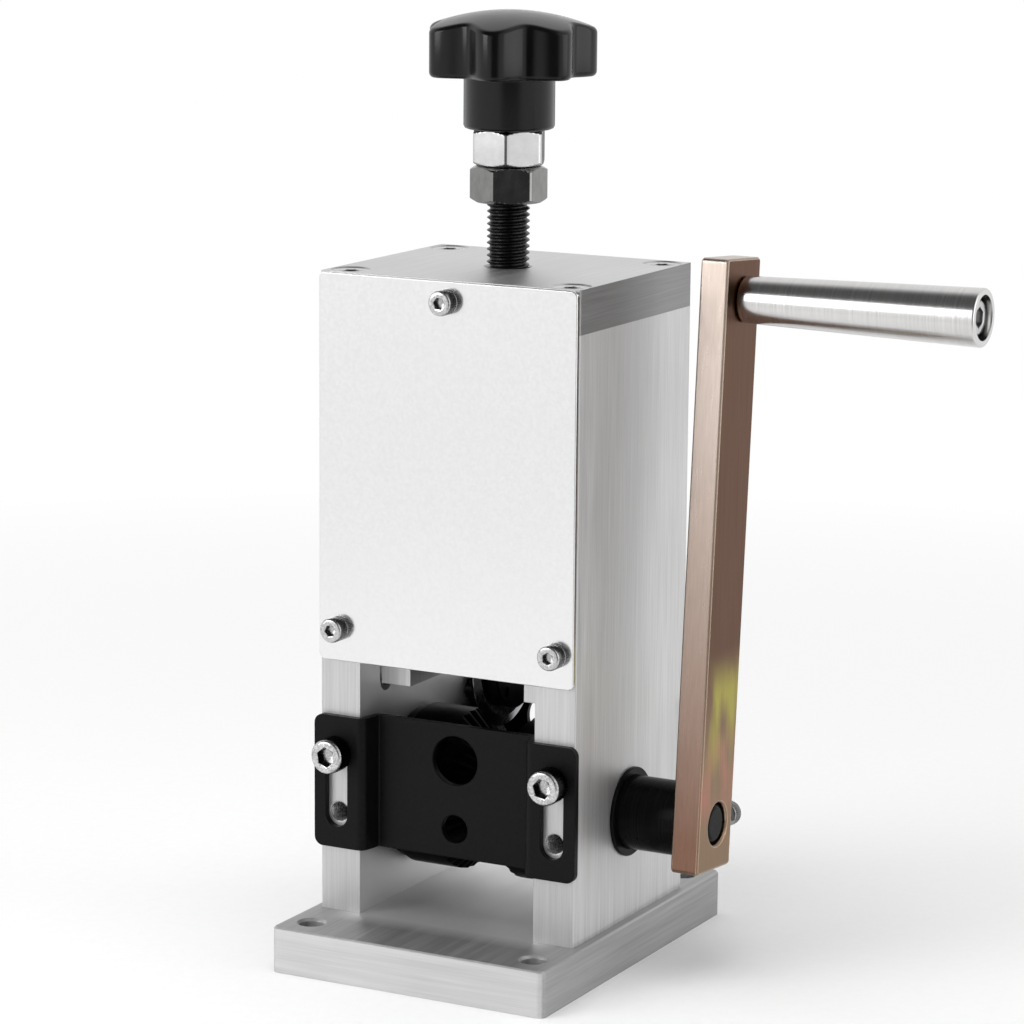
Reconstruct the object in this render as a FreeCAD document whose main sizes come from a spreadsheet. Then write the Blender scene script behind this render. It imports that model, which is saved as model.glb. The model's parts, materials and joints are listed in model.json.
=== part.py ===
"""Hand crank wire stripper, a small bench machine.

Two thick side plates stand on a base and carry a top plate. A crank turns the lower feed roller,
whose serrated V groove drives the cable. A round blade idles above the groove in a carriage that
slides in grooves of the side plates and hangs from the adjusting screw in the top plate. Bent guide
plates at the front and at the back slide on two screws each and lead the cable through.

Millimetres. +Z is up, -Y is the front where the cable goes in, +X is the crank side. The origin lies
on the underside of the base, under the middle of the feed roller.
"""
import FreeCAD, Part
import math
import os
import Sketcher

V = FreeCAD.Vector
FRONT, BACK, UP, DOWN, RIGHT, LEFT = "front", "back", "up", "down", "right", "left"

# name, value in mm, degrees or a count, what it measures
SIZES = [
    # clearances
    ("run_gap", 0.3, "between sliding pieces"),
    ("pin_gap", 0.12, "round a turning shaft or pin"),
    ("fit_gap", 0.05, "round a fixed screw, bush or pin"),
    ("edge_break", 0.5, "small chamfer on machined edges"),
    # base
    ("base_width", 85.4, "base, side to side"),
    ("base_front", 57.0, "base in front of the roller axis"),
    ("base_back", 55.5, "base behind the roller axis"),
    ("base_height", 13.1, "base thickness"),
    ("base_round", 2.0, "upright corners of the base"),
    ("mount_hole", 7.0, "bench screw hole"),
    ("mount_sink", 0.7, "chamfer at the top of a bench screw hole"),
    ("mount_edge", 9.0, "front edge to the front bench screws"),
    ("mount_long", 94.0, "bench screws, front to back"),
    ("mount_wide", 70.0, "bench screws, side to side"),
    # side plates and top plate
    ("inner_width", 55.0, "between the side plates"),
    ("wall", 12.5, "side plate thickness"),
    ("depth", 68.2, "side and top plates, front to back"),
    ("wall_height", 169.5, "side plate height"),
    ("lid_height", 12.2, "top plate thickness"),
    ("base_screw_out", 22.0, "base screws from the middle, front and back"),
    ("lid_screw_out", 28.0, "top plate screws from the middle, front and back"),
    ("lid_head_deep", 0.3, "top plate screw heads below the plate's face"),
    # front cover
    ("cover_low", 85.9, "lower edge of the cover above the bench"),
    ("cover_sheet", 1.5, "cover thickness"),
    ("cover_inset", 0.2, "cover edges inside the plates"),
    ("cover_round", 3.2, "cover corners"),
    ("cover_screw_low", 9.1, "lower cover screws above the cover's edge"),
    ("cover_screw_top", 5.8, "upper cover screw below the top"),
    # screws
    ("big_thread", 6.0, "M6 shank"),
    ("big_head", 10.0, "M6 cap head"),
    ("big_head_height", 6.0, "M6 cap head height"),
    ("big_key", 5.0, "M6 hex key"),
    ("big_length", 12.0, "M6 thread in the plate"),
    ("small_thread", 4.0, "M4 shank"),
    ("small_head", 7.0, "M4 cap head"),
    ("small_head_height", 4.0, "M4 cap head height"),
    ("small_key", 3.0, "M4 hex key"),
    ("small_length", 8.0, "M4 thread in the plate"),
    ("sunk_head", 10.6, "M6 countersunk head"),
    ("sunk_key", 4.0, "hex key of the countersunk screws"),
    # guide plates
    ("guide_sheet", 2.0, "guide plate thickness"),
    ("guide_width", 82.2, "guide plate, side to side"),
    ("guide_low", 32.0, "lower edge above the bench"),
    ("guide_height", 38.0, "guide plate height"),
    ("guide_step", 7.0, "middle panel behind the ears"),
    ("guide_bend", 0.4, "inside radius of the bends"),
    ("guide_play", 0.4, "between a web's bend and the side plate"),
    ("guide_lean", 1.2, "how far a web leans in over its depth"),
    ("guide_corner", 2.6, "corner radius of the ears"),
    ("guide_slot_low", 6.0, "slot above the lower edge"),
    ("guide_slot", 25.4, "slot length"),
    ("guide_slot_width", 7.0, "slot width"),
    ("guide_slot_out", 68.0, "between the two slots"),
    ("guide_screw_up", 59.4, "guide screws above the bench"),
    ("guide_spare_up", 42.0, "second pair of tapped holes above the bench"),
    ("wire_hole", 14.0, "large wire hole"),
    ("wire_hole_up", 27.8, "large wire hole above the lower edge"),
    ("thin_hole", 8.0, "small wire hole"),
    ("thin_hole_up", 8.2, "small wire hole above the lower edge"),
    # carriage
    ("carriage_low", 77.5, "underside of the carriage above the bench"),
    ("carriage_height", 81.0, "carriage height"),
    ("carriage_depth", 45.0, "carriage, front to back"),
    ("mouth_width", 36.0, "between the carriage legs"),
    ("mouth_height", 30.5, "height of the legs"),
    ("tongue", 6.0, "width of a guide tongue"),
    ("groove_deep", 3.0, "depth of a guide groove"),
    ("travel_down", 2.4, "carriage travel below the drawn height"),
    # blade
    ("axle_up", 5.5, "blade axle above the carriage's underside"),
    ("axle", 6.0, "blade axle"),
    ("blade", 38.0, "blade diameter"),
    ("blade_sheet", 2.0, "blade thickness"),
    ("blade_bevel", 3.0, "ground bevel of the blade"),
    ("hub_flange", 27.0, "flanges that clamp the blade"),
    ("hub_flange_thick", 3.6, "thickness of a flange"),
    ("hub", 16.0, "hub through the blade"),
    ("hub_screw", 3.0, "M3 screws of the hub"),
    ("hub_screw_ring", 21.5, "pitch circle of the hub screws"),
    ("hub_screw_count", 4, "hub screws"),
    ("spacer", 10.0, "spacer tubes on the axle"),
    # feed roller and shaft
    ("shaft_up", 44.0, "shaft axis above the bench"),
    ("roller", 46.0, "feed roller"),
    ("roller_rim", 44.0, "reduced ends of the roller"),
    ("roller_rim_long", 2.5, "length of a reduced end"),
    ("groove_mouth", 19.0, "V groove at the roller's surface"),
    ("groove_floor", 6.0, "flat floor of the V groove"),
    ("waist", 32.0, "roller at the groove's floor"),
    ("tooth_count", 40, "serrations round each flank"),
    ("tooth_deep", 0.9, "depth of a serration"),
    ("seat", 18.0, "shaft in the roller"),
    ("left_journal", 16.0, "shaft in the left bush"),
    ("shaft", 20.8, "shaft in the right bush and out to the arm"),
    ("shaft_end_inset", 0.5, "left shaft end inside the plate"),
    ("bush_wall", 1.5, "bush wall"),
    ("bush_flange", 25.2, "bush flange"),
    ("bush_flange_thick", 1.0, "bush flange thickness"),
    ("cheek_gap", 0.04, "parting line between the roller's two cheeks"),
    ("set_screw_place", 17.0, "set screws, each side of the roller's middle"),
    ("set_screw_inset", 1.4, "set screw below the roller's surface"),
    # crank
    ("boss", 17.9, "shaft between the bush flange and the arm"),
    ("arm_lean", 4.47, "arm leans back, degrees"),
    ("arm_sheet", 8.2, "arm thickness"),
    ("arm_front", 12.0, "arm in front of the shaft axis"),
    ("arm_back", 9.2, "arm behind the shaft axis"),
    ("arm_tail", 12.8, "arm below the shaft axis"),
    ("arm_long", 156.7, "arm above the shaft axis"),
    ("arm_round", 1.2, "corner radius at the arm's ends"),
    ("arm_hole", 12.0, "shaft end in the arm"),
    ("arm_end_inset", 0.6, "shaft end inside the arm's face"),
    ("crank_throw", 145.5, "shaft axis to grip axis"),
    ("lock_nut_gap", 1.2, "clamp screw head off its lock nut"),
    ("nut_four", 3.2, "M4 nut height"),
    ("grip_long", 69.0, "grip length"),
    ("grip_near", 12.9, "grip at the arm"),
    ("grip_far", 15.9, "grip at its end"),
    ("grip_recess", 12.3, "recess for the bolt head"),
    ("grip_recess_deep", 7.5, "depth of that recess"),
    # adjusting screw and knob
    ("screw", 12.0, "M12 adjusting screw"),
    ("neck", 8.0, "journal in the carriage"),
    ("washer", 22.0, "thrust washer"),
    ("washer_thick", 1.5, "thrust washer thickness"),
    ("clip", 14.0, "retaining clip"),
    ("clip_thick", 1.2, "retaining clip thickness"),
    ("clip_bite", 0.6, "depth of the clip's groove"),
    ("thread_shown", 18.0, "thread between the top plate and the lower nut"),
    ("nut_twelve", 10.0, "M12 nut height"),
    ("nut_flats", 19.0, "M12 nut across flats"),
    ("nut_split", 0.2, "gap between the two nuts"),
    ("lower_nut_turn", 32.5, "lower nut's turn, degrees"),
    ("upper_nut_turn", -7.0, "upper nut's turn, degrees"),
    ("knob_neck", 25.2, "knob hub"),
    ("knob_neck_long", 14.5, "height of the knob hub"),
    ("knob", 48.0, "star knob"),
    ("knob_thick", 13.5, "height of the star's rim"),
    ("knob_dome", 4.5, "rise of the domed top"),
    ("knob_lobes", 7, "lobes of the star"),
    ("knob_scallop", 9.2, "radius of a hollow between lobes"),
    ("knob_scallop_out", 27.5, "hollow's centre from the knob's axis"),
    ("knob_lobe_round", 2.3, "radius on the lobes' corners"),
    ("knob_turn", 13.0, "knob's turn, degrees"),
]


class Size:
    """A number together with the sheet expression that gives it."""

    def __init__(self, number, text):
        self.number = float(number)
        self.text = text

    def __add__(self, other):
        other = size(other)
        return Size(self.number + other.number, f"({self.text} + {other.text})")

    def __sub__(self, other):
        other = size(other)
        return Size(self.number - other.number, f"({self.text} - {other.text})")

    def __mul__(self, other):
        other = size(other)
        return Size(self.number * other.number, f"({self.text} * {other.text})")

    def __truediv__(self, other):
        other = size(other)
        return Size(self.number / other.number, f"({self.text} / {other.text})")

    def __neg__(self):
        return Size(-self.number, f"(0 - {self.text})")

    def __radd__(self, other):
        return size(other) + self

    def __rsub__(self, other):
        return size(other) - self

    def __rmul__(self, other):
        return size(other) * self


def size(value):
    """The value as a Size; a bare number stays a constant in the expression."""
    if isinstance(value, Size):
        return value
    return Size(value, f"({value:.9f})")


class Sheet:
    """The spreadsheet's aliases as attributes."""


doc = FreeCAD.newDocument("WireStripper")
cells = doc.addObject("Spreadsheet::Sheet", "Sizes")
S = Sheet()
for row, (alias, number, note) in enumerate(SIZES, start=1):
    cells.set(f"A{row}", str(number))
    cells.setAlias(f"A{row}", alias)
    cells.set(f"B{row}", note)
    setattr(S, alias, Size(number, f"Sizes.{alias}"))
doc.recompute()

# heights and faces that several pieces share
HALF = S.inner_width / 2
OUTER = HALF + S.wall
FACE = S.depth / 2
WALL_TOP = S.base_height + S.wall_height
LID_TOP = WALL_TOP + S.lid_height
WALL_MIDDLE = HALF + S.wall / 2
SCREW_OUT = S.guide_slot_out / 2
CARRIAGE_TOP = S.carriage_low + S.carriage_height
MOUTH_TOP = S.carriage_low + S.mouth_height
AXLE_HEIGHT = S.carriage_low + S.axle_up
GROOVE_MIDDLE = S.carriage_depth / 2 - S.tongue / 2
ARM_NEAR = OUTER + S.bush_flange_thick + S.boss
ARM_FAR = ARM_NEAR + S.arm_sheet
ARM_MIDDLE = ARM_NEAR + S.arm_sheet / 2
LOWER_NUT = LID_TOP + S.thread_shown
UPPER_NUT = LOWER_NUT + S.nut_twelve + S.nut_split
KNOB_LOW = UPPER_NUT + S.nut_twelve
STAR_LOW = KNOB_LOW + S.knob_neck_long
STAR_TOP = STAR_LOW + S.knob_thick + S.knob_dome
LEFT_BUSH = S.left_journal + 2 * S.pin_gap + 2 * S.bush_wall
RIGHT_BUSH = S.shaft + 2 * S.pin_gap + 2 * S.bush_wall

parts = []


# ---------------------------------------------------------------- document helpers
def bind(thing, name, value):
    """Tie a property to the sheet."""
    thing.setExpression(name, size(value).text)


def new_body(name, several=False):
    """A body named for its node; several allows separate solids, as in a set of screws."""
    body = doc.addObject("PartDesign::Body", name)
    body.Label = name
    body.AllowCompound = several
    parts.append(body)
    return body


def origin_item(body, role):
    """One of the body's own origin planes or axes."""
    return next(item for item in body.Origin.OriginFeatures if item.Role == role)


PLANES = {
    UP: ("XY_Plane", 1),
    DOWN: ("XY_Plane", -1),
    FRONT: ("XZ_Plane", 1),
    BACK: ("XZ_Plane", -1),
    RIGHT: ("YZ_Plane", 1),
    LEFT: ("YZ_Plane", -1),
}


def sketch(body, facing, away):
    """A sketch facing one way, at a distance that way from the body's origin.

    Its own axes are X and Y for up and down, X and Z for front and back, Y and Z for the sides.
    """
    role, sense = PLANES[facing]
    flat = body.newObject("Sketcher::SketchObject", body.Name + "_sketch")
    flat.AttachmentSupport = [(origin_item(body, role), "")]
    flat.MapMode = "FlatFace"
    bind(flat, "AttachmentOffset.Base.z", size(away) * sense)
    return flat


def hold(flat, element, point, x, y):
    """Hold one point of the sketch at x, y from its origin."""
    for kind, value in (("DistanceX", size(x)), ("DistanceY", size(y))):
        number = flat.addConstraint(Sketcher.Constraint(kind, -1, 1, element, point, value.number))
        flat.setExpression(f"Constraints[{number}]", value.text)


def outline(flat, corners):
    """A closed run of straight lines through the corners."""
    corners = [(size(x), size(y)) for x, y in corners]
    count = len(corners)
    first = flat.GeometryCount
    for k, (x, y) in enumerate(corners):
        end_x, end_y = corners[(k + 1) % count]
        start, end = V(x.number, y.number, 0), V(end_x.number, end_y.number, 0)
        flat.addGeometry(Part.LineSegment(start, end), False)
    for k, (x, y) in enumerate(corners):
        following = first + (k + 1) % count
        flat.addConstraint(Sketcher.Constraint("Coincident", first + k, 2, following, 1))
        hold(flat, first + k, 1, x, y)


def rectangle(flat, left, low, right, high):
    """A rectangle between two corners."""
    outline(flat, [(left, low), (right, low), (right, high), (left, high)])


def circle(flat, x, y, diameter):
    """A circle about x, y."""
    x, y, radius = size(x), size(y), size(diameter) / 2
    shape = Part.Circle(V(x.number, y.number, 0), V(0, 0, 1), radius.number)
    element = flat.addGeometry(shape, False)
    hold(flat, element, 3, x, y)
    number = flat.addConstraint(Sketcher.Constraint("Radius", element, radius.number))
    flat.setExpression(f"Constraints[{number}]", radius.text)


def hexagon(flat, x, y, flats):
    """A hexagon about x, y with two flats level, given across its flats."""
    reach = size(flats) / math.sqrt(3)
    turns = [math.radians(60 * k) for k in range(6)]
    outline(flat, [(x + reach * math.cos(turn), y + reach * math.sin(turn)) for turn in turns])


def upright_slot(flat, x, low, high, width):
    """A slot with round ends, from low to high over all."""
    x, low, high, radius = size(x), size(low), size(high), size(width) / 2
    top, bottom = high - radius, low + radius
    cx, r = x.number, radius.number
    round_top = Part.Circle(V(cx, top.number, 0), V(0, 0, 1), r)
    round_low = Part.Circle(V(cx, bottom.number, 0), V(0, 0, 1), r)
    first = flat.GeometryCount
    flat.addGeometry(Part.ArcOfCircle(round_top, 0, math.pi), False)
    flat.addGeometry(Part.LineSegment(V(cx - r, top.number, 0), V(cx - r, bottom.number, 0)), False)
    flat.addGeometry(Part.ArcOfCircle(round_low, math.pi, 2 * math.pi), False)
    flat.addGeometry(Part.LineSegment(V(cx + r, bottom.number, 0), V(cx + r, top.number, 0)), False)
    for k in range(4):
        following = first + (k + 1) % 4
        flat.addConstraint(Sketcher.Constraint("Tangent", first + k, 2, following, 1))
    flat.addConstraint(Sketcher.Constraint("Equal", first, first + 2))
    hold(flat, first, 3, x, top)
    hold(flat, first + 2, 3, x, bottom)
    number = flat.addConstraint(Sketcher.Constraint("Radius", first, r))
    flat.setExpression(f"Constraints[{number}]", radius.text)


def solid(feature):
    """Recompute, and make sure that the feature is a sound solid."""
    doc.recompute()
    if "Invalid" in feature.State or feature.Shape.isNull() or not feature.Shape.isValid():
        raise RuntimeError(f"{feature.Name} failed")
    return feature


def pad(body, flat, length, backwards=False):
    """Raise the sketch along its own normal, or against it."""
    feature = body.newObject("PartDesign::Pad", body.Name + "_pad")
    feature.Profile = flat
    feature.Reversed = backwards
    bind(feature, "Length", length)
    return solid(feature)


def pocket(body, flat, length, along=False):
    """Cut the sketch to a depth against its own normal, or along it."""
    before = body.Shape.Volume
    feature = body.newObject("PartDesign::Pocket", body.Name + "_pocket")
    feature.Profile = flat
    feature.Reversed = along
    bind(feature, "Length", length)
    solid(feature)
    if feature.Shape.Volume > before - 1e-6:
        raise RuntimeError(f"{feature.Name} cuts nothing")
    return feature


def turned(body, corners, axis="H_Axis", cut=False):
    """A turned form from its half section in the XZ plane."""
    before = body.Shape.Volume if cut else 0
    flat = sketch(body, FRONT, 0)
    outline(flat, corners)
    kind = "PartDesign::Groove" if cut else "PartDesign::Revolution"
    feature = body.newObject(kind, body.Name + "_turned")
    feature.Profile = flat
    feature.ReferenceAxis = (flat, [axis])
    feature.Angle = 360
    solid(feature)
    if cut and feature.Shape.Volume > before - 1e-6:
        raise RuntimeError(f"{feature.Name} cuts nothing")
    return feature


def dress(body, kind, value, wanted):
    """Chamfer or fillet the edges of the body that the test wants."""
    base = body.Tip
    names = [f"Edge{k}" for k, edge in enumerate(base.Shape.Edges, start=1) if wanted(edge)]
    if not names:
        raise RuntimeError(f"{body.Name}: no edge to dress")
    feature = body.newObject(f"PartDesign::{kind}", body.Name + "_" + kind.lower())
    feature.Base = (base, names)
    bind(feature, "Size" if kind == "Chamfer" else "Radius", value)
    return solid(feature)


def around(body, features, count, axis):
    """Repeat features evenly round one of the body's axes."""
    feature = body.newObject("PartDesign::PolarPattern", body.Name + "_pattern")
    feature.Originals = features
    feature.Axis = (origin_item(body, axis), [""])
    feature.Angle = 360
    bind(feature, "Occurrences", count)
    body.Tip = feature
    return solid(feature)


# ---------------------------------------------------------------- edge tests
def near(a, b):
    return abs(a - size(b).number) < 1e-4


def ends(edge):
    return [vertex.Point for vertex in edge.Vertexes]


def level(edge, axis, value):
    """The whole edge lies at one value of an axis."""
    box = edge.BoundBox
    low, high = {"x": (box.XMin, box.XMax), "y": (box.YMin, box.YMax), "z": (box.ZMin, box.ZMax)}[axis]
    return near(low, value) and near(high, value)


def curve_of(edge):
    """The edge's curve, or nothing where a fillet left one of no simple kind."""
    try:
        return edge.Curve
    except TypeError:
        return None


def is_ring(edge, diameter=None):
    """A circle or arc, of that diameter if one is given."""
    curve = curve_of(edge)
    if not isinstance(curve, Part.Circle):
        return False
    return diameter is None or near(2 * curve.Radius, diameter)


def runs_along(edge, axis):
    """A straight edge parallel to an axis."""
    if not isinstance(curve_of(edge), Part.Line):
        return False
    step = ends(edge)[1] - ends(edge)[0]
    other = {"x": (step.y, step.z), "y": (step.x, step.z), "z": (step.x, step.y)}[axis]
    return max(abs(value) for value in other) < 1e-6


# ---------------------------------------------------------------- screws
def cap_screws(name, facing, seat, places, kind, length):
    """Hex socket cap screws, all facing one way, with their heads seated at the same level.

    kind gives shank, head, head height and key; places are in the sketch's own axes.
    """
    shank, head, head_height, key = kind
    role, sense = PLANES[facing]
    outward = sense < 0
    body = new_body(name, several=True)
    flat = sketch(body, facing, seat)
    for x, y in places:
        circle(flat, x, y, head)
    pad(body, flat, head_height, backwards=outward)
    flat = sketch(body, facing, seat)
    for x, y in places:
        circle(flat, x, y, shank)
    pad(body, flat, length, backwards=not outward)
    flat = sketch(body, facing, seat + head_height)
    for x, y in places:
        hexagon(flat, x, y, key)
    pocket(body, flat, head_height * 0.55, along=outward)
    axis = {"XY_Plane": "z", "XZ_Plane": "y", "YZ_Plane": "x"}[role]
    face = (seat + head_height) * (-sense if axis == "y" else sense)
    rim = head * 0.06
    dress(body, "Chamfer", rim, lambda edge: is_ring(edge, head) and level(edge, axis, face))
    return body


BIG = (S.big_thread, S.big_head, S.big_head_height, S.big_key)
SMALL = (S.small_thread, S.small_head, S.small_head_height, S.small_key)


# ---------------------------------------------------------------- frame
def base_plate():
    """Thick flat base with four bench screw holes and counterbores under the side plates."""
    body = new_body("base_plate")
    half = S.base_width / 2
    flat = sketch(body, UP, 0)
    rectangle(flat, -half, -S.base_front, half, S.base_back)
    pad(body, flat, S.base_height)
    dress(body, "Fillet", S.base_round, lambda edge: runs_along(edge, "z"))
    flat = sketch(body, UP, S.base_height)
    for x, y in mount_places():
        circle(flat, x, y, S.mount_hole)
    for x, y in base_screw_places():
        circle(flat, x, y, S.big_thread + 2 * S.fit_gap)
    pocket(body, flat, S.base_height)
    flat = sketch(body, UP, 0)
    for x, y in base_screw_places():
        circle(flat, x, y, S.big_head + 1)
    pocket(body, flat, S.big_head_height + 0.5, along=True)
    dress(body, "Chamfer", S.mount_sink,
          lambda edge: is_ring(edge, S.mount_hole) and level(edge, "z", S.base_height))
    dress(body, "Chamfer", S.edge_break, lambda edge: rim_of_base(edge))


def rim_of_base(edge):
    """The outer edges of the base's top."""
    box = edge.BoundBox
    if not level(edge, "z", S.base_height):
        return False
    half = S.base_width.number / 2
    inside_x = abs(box.Center.x) < half - 3
    inside_y = -S.base_front.number + 3 < box.Center.y < S.base_back.number - 3
    return not (inside_x and inside_y)


def mount_places():
    front = S.mount_edge - S.base_front
    half = S.mount_wide / 2
    return [(-half, front), (half, front), (-half, front + S.mount_long), (half, front + S.mount_long)]


def base_screw_places():
    out = S.base_screw_out
    return [(side * WALL_MIDDLE, end * out) for side in (-1, 1) for end in (-1, 1)]


def lid_screw_places():
    out = S.lid_screw_out
    return [(side * SCREW_OUT, end * out) for side in (-1, 1) for end in (-1, 1)]


def tapped(body, facing, face, places, thread, deep):
    """Blind tapped holes in one face."""
    flat = sketch(body, facing, face)
    for x, y in places:
        circle(flat, x, y, thread + 2 * S.fit_gap)
    pocket(body, flat, deep + 2, along=PLANES[facing][1] < 0)


def side_plate(name, side):
    """Side plate with two guide grooves inside, the shaft's bush hole and the tapped holes."""
    facing = RIGHT if side > 0 else LEFT
    body = new_body(name)
    flat = sketch(body, facing, HALF)
    rectangle(flat, -FACE, S.base_height, FACE, WALL_TOP)
    pad(body, flat, S.wall, backwards=side < 0)
    flat = sketch(body, facing, HALF)
    width = S.tongue + 2 * S.run_gap
    bottom = S.carriage_low - S.travel_down - S.run_gap
    for end in (-1, 1):
        upright_slot(flat, end * GROOVE_MIDDLE, bottom, WALL_TOP + width, width)
    pocket(body, flat, S.groove_deep, along=side > 0)
    flat = sketch(body, facing, HALF)
    circle(flat, 0, S.shaft_up, (RIGHT_BUSH if side > 0 else LEFT_BUSH) + 2 * S.fit_gap)
    pocket(body, flat, S.wall, along=side > 0)
    middle = side * WALL_MIDDLE
    line = side * SCREW_OUT
    lid_holes = [(line, -S.lid_screw_out), (line, S.lid_screw_out)]
    tapped(body, UP, WALL_TOP, lid_holes, S.big_thread, S.big_length)
    ends_y = [(middle, -S.base_screw_out), (middle, S.base_screw_out)]
    flat = sketch(body, UP, S.base_height)
    for x, y in ends_y:
        circle(flat, x, y, S.big_thread + 2 * S.fit_gap)
    pocket(body, flat, S.big_length + 2, along=True)
    guide_holes = [(line, S.guide_screw_up), (line, S.guide_spare_up)]
    tapped(body, FRONT, FACE, guide_holes, S.big_thread, S.big_length)
    tapped(body, BACK, FACE, guide_holes, S.big_thread, S.big_length)
    cover_hole = [(line, S.cover_low + S.cover_screw_low)]
    tapped(body, FRONT, FACE, cover_hole, S.small_thread, S.small_length)
    outside = side * OUTER
    dress(body, "Chamfer", S.edge_break * 0.6,
          lambda edge: runs_along(edge, "z") and level(edge, "x", outside))


def top_plate():
    """Top plate with the threaded hole of the adjusting screw and four countersunk screw holes."""
    body = new_body("top_plate")
    flat = sketch(body, UP, WALL_TOP)
    rectangle(flat, -OUTER, -FACE, OUTER, FACE)
    pad(body, flat, S.lid_height)
    dress(body, "Chamfer", S.edge_break * 0.6, lambda edge: runs_along(edge, "z"))
    flat = sketch(body, UP, LID_TOP)
    circle(flat, 0, 0, S.screw + 2 * S.run_gap)
    for x, y in lid_screw_places():
        circle(flat, x, y, S.big_thread + 2 * S.fit_gap)
    pocket(body, flat, S.lid_height)
    sink = (S.sunk_head - S.big_thread) / 2 + S.lid_head_deep
    dress(body, "Chamfer", sink,
          lambda edge: is_ring(edge, S.big_thread + 2 * S.fit_gap) and level(edge, "z", LID_TOP))
    dress(body, "Chamfer", S.edge_break,
          lambda edge: is_ring(edge, S.screw + 2 * S.run_gap) and level(edge, "z", LID_TOP))
    upper = [(0, LID_TOP - S.cover_screw_top)]
    tapped(body, FRONT, FACE, upper, S.small_thread, S.small_length)


def front_cover():
    """Thin sheet cover over the carriage, held by three screws."""
    body = new_body("front_cover")
    edge_x = OUTER - S.cover_inset
    flat = sketch(body, FRONT, FACE)
    rectangle(flat, -edge_x, S.cover_low, edge_x, LID_TOP - S.cover_inset)
    pad(body, flat, S.cover_sheet)
    dress(body, "Fillet", S.cover_round, lambda edge: runs_along(edge, "y"))
    flat = sketch(body, FRONT, FACE + S.cover_sheet)
    for x, y in cover_screw_places():
        circle(flat, x, y, S.small_thread + 0.3)
    pocket(body, flat, S.cover_sheet)


def cover_screw_places():
    low = S.cover_low + S.cover_screw_low
    return [(-SCREW_OUT, low), (SCREW_OUT, low), (0, LID_TOP - S.cover_screw_top)]


def bush(name, side, outer, bore):
    """Flanged plain bush in a side plate, turned about its own X axis."""
    body = new_body(name)
    inner_r, outer_r, flange_r = bore / 2, outer / 2, S.bush_flange / 2
    near_x, far_x, end_x = side * HALF, side * OUTER, side * (OUTER + S.bush_flange_thick)
    turned(body, [
        (near_x, inner_r), (end_x, inner_r), (end_x, flange_r),
        (far_x, flange_r), (far_x, outer_r), (near_x, outer_r)])
    dress(body, "Chamfer", S.edge_break * 0.5,
          lambda edge: is_ring(edge, S.bush_flange) and level(edge, "x", end_x))
    bind(body, "Placement.Base.z", S.shaft_up)


def lid_screws():
    """Four countersunk hex socket screws whose heads lie a little below the top plate's face."""
    body = new_body("top_plate_screws", several=True)
    sink = (S.sunk_head - S.big_thread) / 2
    top = LID_TOP - S.lid_head_deep
    seat = top - sink
    flat = sketch(body, UP, seat)
    for x, y in lid_screw_places():
        circle(flat, x, y, S.sunk_head)
    pad(body, flat, sink)
    dress(body, "Chamfer", sink - S.fit_gap,
          lambda edge: is_ring(edge, S.sunk_head) and level(edge, "z", seat))
    flat = sketch(body, UP, seat)
    for x, y in lid_screw_places():
        circle(flat, x, y, S.big_thread)
    pad(body, flat, S.lid_height - sink - S.lid_head_deep + S.big_length, backwards=True)
    flat = sketch(body, UP, top)
    for x, y in lid_screw_places():
        hexagon(flat, x, y, S.sunk_key)
    pocket(body, flat, sink)


def frame_screws():
    """Cap screws that hold the base, the cover and, sliding, the two guide plates."""
    deep = S.big_head_height + 0.5
    cap_screws("base_screws", DOWN, -deep, base_screw_places(), BIG, S.base_height - deep + S.big_length)
    cap_screws("front_cover_screws", FRONT, FACE + S.cover_sheet, cover_screw_places(), SMALL,
               S.cover_sheet + S.small_length)
    seat = FACE + S.guide_sheet + S.run_gap / 3
    pair = [(-SCREW_OUT, S.guide_screw_up), (SCREW_OUT, S.guide_screw_up)]
    cap_screws("guide_plate_screws", FRONT, seat, pair, BIG, S.guide_sheet + S.big_length)
    cap_screws("rear_guide_screws", BACK, seat, pair, BIG, S.guide_sheet + S.big_length)


# ---------------------------------------------------------------- guide plates
def guide_plate(name, turn):
    """Bent sheet guide: two slotted ears, two leaning webs and a middle panel with two wire holes."""
    body = new_body(name)
    ear = S.guide_width / 2
    web = HALF - S.guide_play
    lean = S.guide_lean / S.guide_step
    bend = web - S.guide_sheet + S.guide_sheet * lean
    inner = bend - S.guide_lean
    far = web - S.guide_lean
    back = -FACE
    face = back - S.guide_sheet
    panel = face + S.guide_step
    rear = panel + S.guide_sheet
    flat = sketch(body, UP, S.guide_low)
    outline(flat, [
        (-ear, face), (-bend, face), (-inner, panel), (inner, panel), (bend, face), (ear, face),
        (ear, back), (web, back), (far, rear), (-far, rear), (-web, back), (-ear, back)])
    pad(body, flat, S.guide_height)
    inside = [(web, back), (inner, panel)]
    outside = [(bend, face), (far, rear)]
    dress(body, "Fillet", S.guide_bend, lambda edge: upright_at(edge, inside))
    dress(body, "Fillet", S.guide_bend + S.guide_sheet, lambda edge: upright_at(edge, outside))
    dress(body, "Fillet", S.guide_corner,
          lambda edge: runs_along(edge, "y") and near(abs(edge.BoundBox.Center.x), ear))
    flat = sketch(body, FRONT, -face)
    low = S.guide_low + S.guide_slot_low
    for side in (-1, 1):
        upright_slot(flat, side * SCREW_OUT, low, low + S.guide_slot, S.guide_slot_width)
    pocket(body, flat, S.guide_sheet)
    flat = sketch(body, FRONT, -panel)
    circle(flat, 0, S.guide_low + S.wire_hole_up, S.wire_hole)
    circle(flat, 0, S.guide_low + S.thin_hole_up, S.thin_hole)
    pocket(body, flat, S.guide_sheet)
    dress(body, "Chamfer", S.edge_break * 0.4,
          lambda edge: is_ring(edge, S.wire_hole) or is_ring(edge, S.thin_hole))
    body.Placement.Rotation = FreeCAD.Rotation(V(0, 0, 1), turn)


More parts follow.
